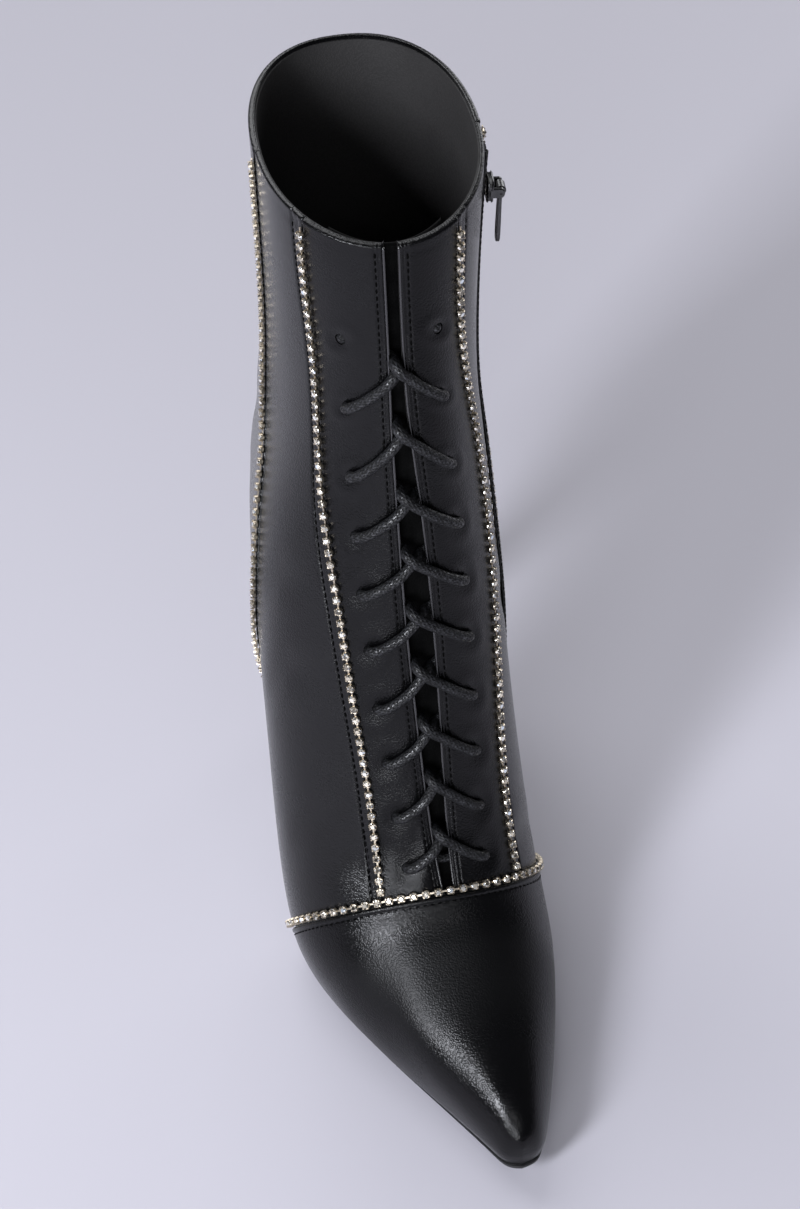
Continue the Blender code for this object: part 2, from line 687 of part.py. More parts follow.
def add_zip():
    finish = material("zip_tape", (0.01, 0.01, 0.011), 0.55)
    metal = material("zip_metal", (0.03, 0.03, 0.032), 0.3, 0.9)
    line = [(s, zip_arc(s)) for s in np.linspace(12.9, 23.85, 30)]
    add_strip("zip_tape", line, ZIP_WIDTH, ZIP_LOW, ZIP_HIGH, finish)

    point, normal, along = frame_on_upper(SLIDER_STATION, zip_arc(SLIDER_STATION))
    across = unit(np.cross(along, normal))
    along = np.cross(normal, across)
    seat = point + normal * (ZIP_HIGH + SEAT_GAP)
    turn = Matrix(np.column_stack([across, along, normal]).tolist()).to_4x4()
    pin_height = SLIDER_THICK + SEAT_GAP + PULL_BARREL_R

    # The slider in its own axes: x across the zip, y up it, z away from the upper.
    half = PULL_WIDE / 2 + SEAT_GAP
    post = 1.2
    slider_box = box((-SLIDER_WIDE / 2, -SLIDER_LONG / 2, 0), (SLIDER_WIDE / 2, SLIDER_LONG / 2, SLIDER_THICK))
    slider = add_object("zip_slider", *slider_box, metal)
    helpers = []
    for side in (-1, 1):
        inner, outer = sorted((side * half, side * (half + post)))
        low_corner = (inner, -PULL_BARREL_R, 0.5 * SLIDER_THICK)
        high_corner = (outer, PULL_BARREL_R, pin_height + PIN_R + 0.5)
        helpers.append(add_object(f"slider_post_{SIDES[side]}", *box(low_corner, high_corner), metal))
    pin_ends = [(x, 0, pin_height) for x in (-half - post / 2, half + post / 2)]
    helpers.append(outward(add_object("slider_pin", *ring_solid(tube_rings(pin_ends, PIN_R, 10)), metal)))
    for helper in helpers:
        hide(helper)
        join = slider.modifiers.new(helper.name, "BOOLEAN")
        join.operation = "UNION"
        join.object = helper
    for piece in [slider] + helpers:
        piece.matrix_basis = Matrix.Translation(Vector(seat * MM)) @ turn

    # The pull in the same axes, with its origin on the pin.
    barrel_ends = [(-PULL_WIDE / 2, 0, 0), (PULL_WIDE / 2, 0, 0)]
    pull = outward(add_object("zip_pull", *ring_solid(tube_rings(barrel_ends, PULL_BARREL_R, 14)), metal))
    tab_low = (-PULL_WIDE / 2, -PULL_LONG, -PULL_THICK / 2)
    tab_high = (PULL_WIDE / 2, -0.5 * (PULL_EYE_R + PULL_BARREL_R), PULL_THICK / 2)
    tab = add_object("pull_tab", *box(tab_low, tab_high), metal)
    eye_ends = [(-PULL_WIDE, 0, 0), (PULL_WIDE, 0, 0)]
    eye = outward(add_object("pull_eye", *ring_solid(tube_rings(eye_ends, PULL_EYE_R, 14)), metal))
    for helper, operation in ((tab, "UNION"), (eye, "DIFFERENCE")):
        hide(helper)
        change = pull.modifiers.new(helper.name, "BOOLEAN")
        change.operation = operation
        change.object = helper
    pin = seat + normal * pin_height
    for piece in (pull, tab, eye):
        piece.matrix_basis = Matrix.Translation(Vector(pin * MM)) @ turn


def main():
    for old in list(bpy.data.objects):
        bpy.data.objects.remove(old, do_unlink=True)
    root = bpy.data.objects.new("bootie", None)
    root.location = (-FRAME_X * MM, -FRAME_Y * MM, 0)
    bpy.context.scene.collection.objects.link(root)
    add_upper()
    add_tongue()
    add_insole()
    add_outsole()
    add_heel()
    add_laces()
    add_chains()
    add_zip()


main()
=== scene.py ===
# Looks of a right-foot stiletto bootie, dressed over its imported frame.
import math
from functools import partial
import bmesh
import bpy
import numpy as np
from mathutils import Matrix, Vector


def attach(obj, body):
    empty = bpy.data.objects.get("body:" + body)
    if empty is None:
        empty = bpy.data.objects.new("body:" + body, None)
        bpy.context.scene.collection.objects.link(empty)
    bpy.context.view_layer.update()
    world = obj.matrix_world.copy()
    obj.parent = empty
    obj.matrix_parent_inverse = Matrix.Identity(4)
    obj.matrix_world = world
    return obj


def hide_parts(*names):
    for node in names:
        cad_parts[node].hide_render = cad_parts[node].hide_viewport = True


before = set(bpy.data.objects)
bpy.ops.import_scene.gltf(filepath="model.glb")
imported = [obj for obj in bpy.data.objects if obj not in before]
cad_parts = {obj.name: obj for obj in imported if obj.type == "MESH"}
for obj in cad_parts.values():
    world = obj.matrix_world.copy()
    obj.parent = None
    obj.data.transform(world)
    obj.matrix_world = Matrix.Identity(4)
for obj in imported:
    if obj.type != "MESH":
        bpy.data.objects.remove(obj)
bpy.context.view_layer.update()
print("frame loaded:", len(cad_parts), "nodes")

# the last, in millimetres: x from heel to toe, +y to the inside of the foot, z up
last = dict(
    frameX=122.88, frameY=-4.04, seam=8.12, collar=24.0, closed=18.0, waist=11.0, backFirst=11.6,
    sweepReach=1.6, sweep={-1: 0.00005, 1: 0.0002}, seatTurn=33.0, collarTurn=44.75, turnPower=2.3,
    counter=(12.8, 15.2), tuckReach=12.0, tuckSteep=2.0, tuckPower=2.2,
    samples=129, step=0.04, fineFrom=17.0, fineTo=18.2, fineStep=0.008,
)
# how a section's curve turns, as (value, change where the section tapers)
sectionSet = dict(taper=(9, 12), samples=49, shoulder=0.45,
                  hold=(0.5, 0.1), turn=(0.35, -0.1), pull=(0.75, 0.2))
# how far apart points are read for a direction on the upper
probe = dict(station=0.05, least=0.01, arc=0.5, end=1)
sideName = {-1: "lateral", 1: "medial"}
lastColumns = ("station crownX crownY crownZ featherX featherZ"
               " lateral medial featherLateral featherMedial widest fullness")
lastRows = (
    (0, 238.5, 10.0, 19.5, 239.5, 10.5, 10.0, 10.0, 10.0, 10.0, 0.70, 0.60),
    (1, 236.2, 9.8, 23.6, 237.6, 10.0, 4.9, 15.9, 5.8, 15.0, 0.72, 0.60),
    (2, 230.4, 8.8, 27.5, 232.0, 8.6, 1.2, 19.2, 2.5, 17.9, 0.73, 0.60),
    (4, 212.6, 5.6, 34.0, 210.0, 4.9, -11.4, 26.2, -9.6, 24.5, 0.74, 0.60),
    (6, 190.8, 2.8, 42.0, 178.0, 3.4, -30.4, 33.8, -28.4, 31.9, 0.73, 0.60),
    (7, 179.2, 1.9, 47.8, 160.5, 3.6, -38.8, 36.3, -36.6, 34.2, 0.72, 0.60),
    (8, 167.6, 1.7, 55.8, 144.5, 5.8, -43.6, 36.8, -40.2, 33.0, 0.71, 0.58),
    (9, 157.2, 2.2, 70.0, 131.0, 13.2, -45.2, 36.2, -39.0, 28.6, 0.70, 0.57),
    (10, 148.8, 2.9, 87.5, 119.0, 25.0, -45.4, 35.2, -34.2, 24.4, 0.68, 0.56),
    (12, 136.2, 3.9, 120.8, 98.5, 55.0, -44.8, 33.2, -26.0, 20.4, 0.64, 0.54),
    (14, 126.4, 4.2, 151.0, 75.5, 86.5, -43.8, 32.0, -25.2, 23.2, 0.60, 0.53),
    (16, 117.2, 3.4, 180.6, 38.5, 105.6, -40.0, 32.0, -26.0, 25.0, 0.58, 0.54),
    (18, 109.8, 2.0, 205.0, 15.2, 110.0, -35.0, 32.0, -27.0, 26.5, 0.57, 0.55),
    (19, 106.8, 1.4, 214.4, 9.0, 120.0, -33.3, 31.4, -29.0, 28.6, 0.56, 0.55),
    (20, 104.0, 0.9, 223.4, 6.2, 136.0, -32.0, 31.0, -31.0, 30.2, 0.55, 0.55),
    (22, 98.5, 0.3, 243.0, 10.5, 191.0, -30.6, 30.8, -30.6, 30.8, 0.53, 0.55),
    (24, 94.5, 0.0, 264.0, 5.0, 264.0, -31.4, 32.4, -31.4, 32.4, 0.50, 0.55),
)
# distances round the upper from its crown line: minus is the outside, plus the inside of the foot
frontColumns = "station gapLateral gapMedial chainLateral chainMedial"
frontRows = (
    (8.1, -1.5, 2.0, -20.5, 25.5), (10.0, -4.8, 0.8, -22.3, 23.8), (12.0, -7.2, 0.1, -25.8, 24.8),
    (14.0, -8.4, -0.6, -28.2, 26.6), (16.0, -7.8, -1.1, -31.0, 28.8), (18.0, -6.5, -1.4, -32.8, 27.8),
    (21.0, -4.5, -0.6, -31.0, 21.5), (24.0, -4.0, 0.0, -29.0, 20.0),
)
backColumns = "station lateral medial"
backRows = (
    (11.6, 104.6, 88.6), (12.4, 94.3, 79.1), (13.2, 86.0, 71.0), (14.0, 78.5, 64.5), (15.0, 73.5, 61.5),
    (16.0, 73.5, 64.5), (17.0, 76.5, 70.2), (18.0, 79.5, 75.5), (20.0, 79.0, 77.2), (22.0, 69.1, 68.8),
    (24.0, 60.0, 60.7),
)


class TableCurve:
    # a natural cubic through each column, read at any stations
    def __init__(self, columns, rows):
        data = np.array(rows, float)
        self.names = columns.split()[1:]
        self.station, self.value = data[:, 0], data[:, 1:]
        step = np.diff(self.station)
        slope = np.diff(self.value, axis=0) / step[:, None]
        system, target = np.eye(len(data)), np.zeros_like(self.value)
        for i in range(1, len(data) - 1):
            system[i, i - 1:i + 2] = step[i - 1], 2 * (step[i - 1] + step[i]), step[i]
            target[i] = 6 * (slope[i] - slope[i - 1])
        self.bend = np.linalg.solve(system, target)

    def read(self, station):
        station = np.asarray(station, float)
        i = np.clip(np.searchsorted(self.station, station) - 1, 0, len(self.station) - 2)
        step = (self.station[i + 1] - self.station[i])[..., None]
        b = (station - self.station[i])[..., None] / step
        a = 1 - b
        value = a * self.value[i] + b * self.value[i + 1]
        value = value + ((a**3 - a) * self.bend[i] + (b**3 - b) * self.bend[i + 1]) * step**2 / 6
        return dict(zip(self.names, np.moveaxis(value, -1, 0)))


lastCurve = TableCurve(lastColumns, lastRows)
frontCurve = TableCurve(frontColumns, frontRows)
backCurve = TableCurve(backColumns, backRows)


def smooth(value, low, high):
    share = np.clip((np.asarray(value, float) - low) / (high - low), 0, 1)
    return share * share * (3 - 2 * share)


def unit(vectors):
    vectors = np.asarray(vectors, float)
    return vectors / np.maximum(np.linalg.norm(vectors, axis=-1, keepdims=True), 1e-9)


def runOf(points):
    # the distance run along a line up to each of its points
    return np.concatenate([[0], np.cumsum(np.linalg.norm(np.diff(points, axis=0), axis=1))])


def bezier(corners, share):
    a, b, c, d = np.array(corners, float)
    share = share[:, None]
    rest = 1 - share
    return rest**3 * a + 3 * rest**2 * share * b + 3 * rest * share**2 * c + share**3 * d


def edgeLine(names, low, high):
    read = lastCurve.read(np.linspace(low, high, 121))
    return np.array([read[name] for name in names])


backLine = edgeLine(("featherZ", "featherX"), last["closed"], last["collar"])
seatLine = edgeLine(("featherX", "featherZ"), last["closed"], last["waist"])


def turnIn(x, z):
    # the share of the side's width left as it turns in to the back
    reach = np.interp(z, (backLine[0, 0], backLine[0, -1]), (last["seatTurn"], last["collarTurn"]))
    share = np.clip((np.interp(z, *backLine) + reach - x) / reach, 0, 1)
    return (1 - share ** last["turnPower"]) ** (1 / last["turnPower"])


def halfSection(station, side):
    row = lastCurve.read(station)
    key = "featherLateral" if side < 0 else "featherMedial"
    wide, edge, crown, atWide = row[sideName[side]], row[key], row["crownY"], row["widest"]
    below, taper = 1 - atWide, smooth(station, *sectionSet["taper"])
    hold, turn, pull = (sectionSet[k][0] - sectionSet[k][1] * taper for k in ("hold", "turn", "pull"))
    share = np.linspace(0, 1, sectionSet["samples"])
    bulge = (0, crown + row["fullness"] * (wide - crown))
    upper = bezier(((0, crown), bulge, (sectionSet["shoulder"] * atWide, wide), (atWide, wide)), share)
    held, bent = (atWide + hold * below, wide), (1 - turn * below, edge + pull * (wide - edge))
    lower = bezier(((atWide, wide), held, bent, (1, edge)), np.sin(share * math.pi / 2))
    plane = np.vstack([upper, lower[1:]])
    x = row["crownX"] + plane[:, 0] * (row["featherX"] - row["crownX"])
    z = row["crownZ"] + plane[:, 0] * (row["featherZ"] - row["crownZ"])
    y = plane[:, 1]
    upright = smooth(station, *last["counter"])
    if upright > 0:
        seat = lastCurve.read(min(station, last["closed"]))
        tight = wide * seat[key] / seat[sideName[side]]
        reach = last["tuckReach"] + last["tuckSteep"] * abs(wide - tight)
        rise = np.clip((z - np.interp(x, *seatLine)) / reach, 0, 1)
        tucked = wide + (tight - wide) * (1 - rise) ** last["tuckPower"]
        y = np.where(np.arange(len(y)) >= len(share), y + upright * (tucked - y), y) * turnIn(x, z)
    if station >= last["closed"]:
        y[-1] = 0
    points = np.column_stack([x, y, z])
    return points, runOf(points)


def sectionTable(side):
    # every section resampled at equal shares of its length
    shares = np.linspace(0, 1, last["samples"])
    points, lengths = [], []
    for station in stationList:
        section, distance = halfSection(station, side)
        points.append([np.interp(shares * distance[-1], distance, section[:, i]) for i in range(3)])
        lengths.append(distance[-1])
    return np.moveaxis(np.array(points), 1, 2), np.array(lengths)


stationList = np.unique(np.round(np.concatenate([
    np.arange(0, last["collar"] + 0.001, last["step"]),
    np.arange(last["fineFrom"], last["fineTo"], last["fineStep"])]), 4))
sections = {side: sectionTable(side) for side in sideName}


def sectionLength(station, side):
    return np.interp(station, stationList, sections[side][1])


def readSection(side, station, arc):
    points, lengths = sections[side]
    share = np.clip(arc / np.interp(station, stationList, lengths), 0, 1)
    swing = np.exp(-(((station - last["seam"]) / last["sweepReach"]) ** 2))
    station = np.clip(station + last["sweep"][side] * arc**2 * swing, 0, last["collar"])
    i = np.clip(np.searchsorted(stationList, station) - 1, 0, len(stationList) - 2)
    f = ((station - stationList[i]) / (stationList[i + 1] - stationList[i]))[:, None]
    k = np.clip((share * (last["samples"] - 1)).astype(int), 0, last["samples"] - 2)
    g = (share * (last["samples"] - 1) - k)[:, None]
    low = points[i, k] * (1 - g) + points[i, k + 1] * g
    high = points[i + 1, k] * (1 - g) + points[i + 1, k + 1] * g
    return low * (1 - f) + high * f


def onUpper(station, arc):
    station, arc = np.broadcast_arrays(np.asarray(station, float), np.asarray(arc, float))
    found = np.empty(station.shape + (3,))
    for side in sideName:
        pick = (arc < 0) == (side < 0)
        if pick.any():
            found[pick] = readSection(side, station[pick], np.abs(arc[pick]))
    return found


def frameOn(station, arc):
    # points of the upper with their outward normals and directions of rising station
    station, arc = np.broadcast_arrays(np.asarray(station, float), np.asarray(arc, float))
    limit = np.where(arc < 0, sectionLength(station, -1), sectionLength(station, 1)) - probe["end"]
    inside = np.clip(arc, -limit, limit)
    high = np.minimum(station + probe["station"], last["collar"])
    low = np.maximum(station - probe["station"], probe["least"])
    along = unit(onUpper(high, inside) - onUpper(low, inside))
    across = unit(onUpper(station, inside + probe["arc"]) - onUpper(station, inside - probe["arc"]))
    return onUpper(station, arc), unit(np.cross(across, along)), along


def lifted(station, arc, lift):
    point, normal, _ = frameOn(station, arc)
    return point + normal * np.asarray(lift, float)[..., None]


def toWorld(points):
    return (np.asarray(points, float) - (last["frameX"], last["frameY"], 0)) * 0.001


def gapEdge(station, side):
    return frontCurve.read(station)["gapLateral" if side < 0 else "gapMedial"]


def chainEdge(station, side):
    return frontCurve.read(station)["chainLateral" if side < 0 else "chainMedial"]


def gapMiddle(station):
    station = np.maximum(station, last["seam"])
    return 0.5 * (gapEdge(station, -1) + gapEdge(station, 1))


def chainStitch(station):
    # how far behind the front chain its seam line runs
    return panel["chainStitch"] + panel["chainStitchRise"] * smooth(station, *panel["chainStitchSpan"])


def backEdge(station, side):
    # ahead of the back panel the line runs on to the feather line
    station = np.asarray(station, float)
    first = backRows[0][1 if side < 0 else 2]
    slope = (backRows[1][1 if side < 0 else 2] - first) / (backRows[1][0] - backRows[0][0])
    ahead = first + slope * (station - last["backFirst"])
    edge = np.where(station < last["backFirst"], ahead, backCurve.read(station)[sideName[side]])
    return side * np.minimum(edge, sectionLength(station, side))


# shader maths
class Wire:
    def __init__(self, tree, socket=None):
        self.tree, self.socket = tree, socket

    def add(self, kind, settings=None, values=None, out=0):
        node = self.tree.nodes.new("ShaderNode" + kind)
        for key, value in (settings or {}).items():
            if key == "stops":
                for i, (place, colour) in enumerate(value):
                    stop = node.color_ramp.elements[i] if i < 2 else node.color_ramp.elements.new(place)
                    stop.position, stop.color = place, (*colour, 1)
            else:
                setattr(node, key, value)
        for key, value in (values or {}).items():
            self.plug(node.inputs[key], value)
        return Wire(self.tree, node.outputs[out])

    def plug(self, socket, value):
        if isinstance(value, Wire):
            self.tree.links.new(value.socket, socket)
        else:
            socket.default_value = value

    def sum(self, operation, *terms):
        return self.add("Math", {"operation": operation}, dict(enumerate(terms)))

    def place(self):
        return self.add("TexCoord", out="Object")

    def noise(self, place, scale, detail, out=0):
        return self.add("TexNoise", None, {"Vector": place, "Scale": scale, "Detail": detail}, out)

    def output(self, index):
        # another output of the node that this value comes from
        return Wire(self.tree, self.socket.node.outputs[index])

    def mix(self, low, high):
        # this value blends two colours
        node = self.tree.nodes.new("ShaderNodeMix")
        node.data_type = "RGBA"
        for name, value in (("Factor_Float", self), ("A_Color", low), ("B_Color", high)):
            self.plug(next(s for s in node.inputs if s.identifier == name), value)
        return Wire(self.tree, next(s for s in node.outputs if s.identifier == "Result_Color"))

    def between(self, low, high):
        return self.add("MapRange", {"interpolation_type": "SMOOTHSTEP"},
                        {"Value": self, "From Min": low, "From Max": high})

    def __add__(self, other):
        return self.sum("ADD", self, other)

    def __radd__(self, other):
        return self.sum("ADD", other, self)

    def __sub__(self, other):
        return self.sum("SUBTRACT", self, other)

    def __rsub__(self, other):
        return self.sum("SUBTRACT", other, self)

    def __mul__(self, other):
        return self.sum("MULTIPLY", self, other)

    def __rmul__(self, other):
        return self.sum("MULTIPLY", other, self)


def finish(name, values, paint=None):
    # a Principled finish: fixed values on its own sockets, and a paint function for what varies
    made = bpy.data.materials.new(name)
    made.use_nodes = True
    shader = made.node_tree.nodes["Principled BSDF"]
    wire = Wire(made.node_tree)
    for key, value in {**values, **(paint(wire) if paint else {})}.items():
        wire.plug(shader.inputs[key], value)
    return made


def bumped(wire, height, strength, distance):
    return wire.add("Bump", None, {"Height": height, "Strength": strength, "Distance": distance})


leatherLook = dict(
    cell=1650.0, fine=3400.0, cloud=60.0, drift=700.0, shift=0.0004, dome=(0.15, 0.75),
    bump=0.32, depth=0.0002, gloss=0.22, low=(0.001, 0.001, 0.0012, 1), high=(0.0022, 0.0022, 0.0026, 1),
)


def leatherPaint(wire, grain=1.0, **changes):
    # small domed pebbles with pores between them
    look = {**leatherLook, **changes}
    place = wire.place()
    drift = wire.noise(place, look["drift"], 2.0, "Color")
    shift = (look["shift"],) * 3
    bent = wire.add("VectorMath", {"operation": "MULTIPLY_ADD"}, {0: drift, 1: shift, 2: place})
    pebble = wire.add("TexVoronoi", {"feature": "F1"}, {"Vector": bent, "Scale": look["cell"]})
    pore = wire.noise(place, look["fine"], 2.0)
    cloud = wire.noise(place, look["cloud"], 3.0)
    dome = 1 - pebble.between(*look["dome"])
    rough = look["gloss"] + (cloud - 0.5) * 0.08 + (1 - dome) * 0.05
    return {"Base Color": (cloud * 0.6 + dome * 0.4).mix(look["low"], look["high"]), "Roughness": rough,
            "Normal": bumped(wire, (dome * 0.8 + pore * 0.35) * grain, look["bump"], look["depth"])}


# places along the toe, in metres of the frame
toeLook = dict(dull=0.15, bend=((0.048, 0.060), (0.066, 0.088)), polish=0.05, tip=(0.088, 0.106), stretch=0.2)


def toePaint(wire):
    # duller where the toe bends, and stretched flat and rubbed to a polish at the tip
    ahead = wire.add("SeparateXYZ", None, {0: wire.place()})
    rise, fall = toeLook["bend"]
    bend = ahead.between(*rise) - ahead.between(*fall)
    tip = ahead.between(*toeLook["tip"])
    values = leatherPaint(wire, grain=1 - tip * toeLook["stretch"])
    values["Roughness"] = values["Roughness"] + bend * toeLook["dull"] - tip * toeLook["polish"]
    return values


laceLook = dict(
    pitch=1.9, strands=8, wax=1500.0, fuzz=3800.0, waxAndPaintedGlint=(0.46, 0.6), bump=0.85, depth=0.0004,
    # high is a painted bluish glint, laid on the waxed crests of the braid
    low=(0.002, 0.0021, 0.0025, 1), high=(0.016, 0.017, 0.02, 1),
)


def lacePaint(wire):
    # a tubular braid under wax: two families of diagonal strands on the cord's own map
    look, turns = laceLook, 2 * math.pi
    along = wire.add("SeparateXYZ", None, {0: wire.add("UVMap", {"uv_map": "route"})})
    around = along.output(1)
    rising = wire.sum("SINE", along * (turns / look["pitch"]) + around * (turns * look["strands"]))
    falling = wire.sum("SINE", along * (turns / look["pitch"]) - around * (turns * look["strands"]))
    braid = wire.sum("MAXIMUM", rising, falling) * 0.5 + 0.5
    place = wire.place()
    wax = wire.noise(place, look["wax"], 4.0)
    # wax on the braid's crests: really glossier there, and lighter and bluish in colour there as a painted
    # glint
    waxAndPaintedGlint = wax.between(*look["waxAndPaintedGlint"]) * braid
    fuzz = wire.noise(place, look["fuzz"], 2.0)
    return {"Base Color": waxAndPaintedGlint.mix(look["low"], look["high"]),
            "Roughness": 0.54 - waxAndPaintedGlint * 0.18 + fuzz * 0.08, "Coat Weight": waxAndPaintedGlint * 0.75,
            "Normal": bumped(wire, braid * 0.7 + fuzz * 0.35 + wax * 0.25, look["bump"], look["depth"])}


paintedSparkleStops = ((0.0, (0.03, 0.026, 0.02)), (1.0, (0.8, 0.9, 1.0)), (0.3, (0.26, 0.23, 0.18)),
              (0.55, (0.95, 0.86, 0.7)), (0.8, (0.95, 0.92, 0.86)))


def stonePaint(wire):
    # foil-backed glass: each facet's colour is a painted reflection, a random tone from dark to white
    # standing in for the light it throws back
    spark = wire.add("Attribute", {"attribute_name": "spark"}, out="Fac")
    colour = wire.add("ValToRGB", {"stops": paintedSparkleStops}, {0: spark})
    return {"Base Color": colour, "Roughness": 0.16 - spark * 0.1}


def metalPaint(wire, low, high, rough):
    cloud = wire.noise(wire.place(), 700.0, 3.0)
    return {"Base Color": cloud.mix(low, high), "Roughness": rough - 0.05 + cloud * 0.1}


def clothPaint(wire, low, high, scale, depth):
    # a plain weave on the piece's place
    place = wire.place()
    split = wire.add("SeparateXYZ", None, {0: place})
    over = wire.sum("SINE", split.output(2) * scale)
    under = wire.sum("SINE", (split + split.output(1)) * scale)
    weave = over * under * 0.5 + 0.5
    fuzz = wire.noise(place, 1500.0, 3.0)
    return {"Base Color": (weave * 0.6 + fuzz * 0.4).mix(low, high), "Roughness": 0.62 + fuzz * 0.2,
            "Normal": bumped(wire, weave + fuzz * 0.5, 0.5, depth)}


soleLook = dict(stretch=(1.0, 7.0, 7.0), scuff=90.0, fine=1800.0, bump=0.18, depth=0.0002,
                low=(0.006, 0.006, 0.0065, 1), high=(0.017, 0.017, 0.018, 1))


def solePaint(wire):
    place = wire.place()
    stretch = wire.add("Mapping", None, {0: place, "Scale": soleLook["stretch"]})
    scuff = wire.noise(stretch, soleLook["scuff"], 6.0)
    fine = wire.noise(place, soleLook["fine"], 3.0)
    return {"Base Color": scuff.mix(soleLook["low"], soleLook["high"]), "Roughness": 0.34 + scuff * 0.22,
            "Normal": bumped(wire, fine + scuff, soleLook["bump"], soleLook["depth"])}


def tone(grey, warm=1.0):
    return grey * warm, grey, grey, 1


satin = {"Specular IOR Level": 0.24, "Sheen Weight": 0.1, "Sheen Roughness": 0.28}
finishes = dict(
    leather=finish("satin black leather", satin, leatherPaint),
    toe=finish("toe leather", satin, toePaint),
    # the same leather with more specular and sheen: a lit copy that makes the quarters and back panel read
    # lighter
    side=finish("side leather lit copy", {"Specular IOR Level": 0.36, "Sheen Weight": 0.14, "Sheen Roughness": 0.3},
                leatherPaint),
    # plain tongue leather, made dull and low in specular so that it reads dark, as shade, in the lace gap
    tongue=finish("plain black leather dulled as shade", {"Specular IOR Level": 0.08},
                  partial(leatherPaint, gloss=0.6, low=tone(0.0012), high=tone(0.002))),
    edge=finish("edge paint", {"Specular IOR Level": 0.75, "Coat Weight": 0.5, "Coat Roughness": 0.15},
                partial(leatherPaint, bump=0.1)),
    lining=finish("lining leather", {"Specular IOR Level": 0.3},
                  partial(leatherPaint, gloss=0.6, cell=1700.0,
                          low=tone(0.018, 1.04), high=tone(0.032, 1.04))),
    heel=finish("covered heel", {"Coat Weight": 0.35, "Coat Roughness": 0.18},
                partial(leatherPaint, gloss=0.24, bump=0.12)),
    lace=finish("waxed braid", {"Specular IOR Level": 0.32, "Coat Roughness": 0.24}, lacePaint),
    thread=finish("black thread", {"Specular IOR Level": 0.04},
                  partial(clothPaint, low=tone(0.0008), high=tone(0.002), scale=9000.0, depth=0.0001)),
    stone=finish("clear stone", {"Metallic": 0.72, "Coat Weight": 1.0, "Coat Roughness": 0.03}, stonePaint),
    cup=finish("stone cup", {"Metallic": 1.0},
               partial(metalPaint, low=(0.37, 0.32, 0.25, 1), high=(0.63, 0.56, 0.45, 1), rough=0.34)),
    zipTape=finish("zip tape", {"Specular IOR Level": 0.3},
                   partial(clothPaint, low=tone(0.007), high=tone(0.018), scale=8200.0, depth=0.00015)),
    coil=finish("zip coil", {"Coat Weight": 0.2, "Coat Roughness": 0.3},
                partial(metalPaint, low=tone(0.006), high=tone(0.013), rough=0.34)),
    zipMetal=finish("black nickel", {"Metallic": 1.0},
                    partial(metalPaint, low=tone(0.05), high=tone(0.11), rough=0.26)),
    sole=finish("sole", {"Specular IOR Level": 0.5}, solePaint),
    topPiece=finish("top piece rubber", {"Specular IOR Level": 0.35},
                    partial(clothPaint, low=tone(0.012), high=tone(0.024), scale=5200.0, depth=0.0002)),
)
print("finishes made:", len(finishes))


# mesh helpers
def linked(name, data):
    made = bpy.data.objects.new(name, data)
    bpy.context.scene.collection.objects.link(made)
    return made


def addPiece(name, points, faces, material, body="boot", slot=None, replaces=()):
    mesh = bpy.data.meshes.new(name)
    mesh.from_pydata([tuple(p) for p in toWorld(points).tolist()], [], [tuple(f) for f in faces])
    mesh.validate()
    mesh.materials.append(material)
    mesh.shade_smooth()
    return dress(linked(name, mesh), body, replaces)


def dress(piece, body, replaces):
    if body:
        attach(piece, body)
    if replaces:
        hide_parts(*replaces)
    return piece


def outward(piece):
    mesh = bmesh.new()
    mesh.from_mesh(piece.data)
    bmesh.ops.remove_doubles(mesh, verts=mesh.verts, dist=1e-7)
    bmesh.ops.recalc_face_normals(mesh, faces=mesh.faces)
    mesh.to_mesh(piece.data)
    mesh.free()
    piece.data.shade_smooth()
    return piece


def sharpen(piece, degrees):
    piece.data.set_sharp_from_angle(angle=math.radians(degrees))
    return piece


def settle(piece, **options):
    # what the piece's modifiers make becomes its mesh
    graph = bpy.context.evaluated_depsgraph_get()
    made = bpy.data.meshes.new_from_object(piece.evaluated_get(graph), depsgraph=graph, **options)
    piece.modifiers.clear()
    piece.data = made


def gridFaces(rows, columns, first=0):
    corner = (np.arange(rows - 1)[:, None] * columns + np.arange(columns - 1)).ravel() + first
    return np.column_stack([corner, corner + 1, corner + columns + 1, corner + columns])


def ringFaces(rows, count, first=0):
    # the faces of a closed solid through rings of points, with flat ends
    faces = []
    for low in range(first, first + (rows - 1) * count, count):
        for j in range(count):
            k = (j + 1) % count
            faces.append((low + j, low + k, low + count + k, low + count + j))
    final = first + (rows - 1) * count
    return [*faces, tuple(range(first, first + count))[::-1], tuple(range(final, final + count))]


def circle(count):
    turns = np.linspace(0, 2 * math.pi, count, endpoint=False)
    return np.cos(turns), np.sin(turns)


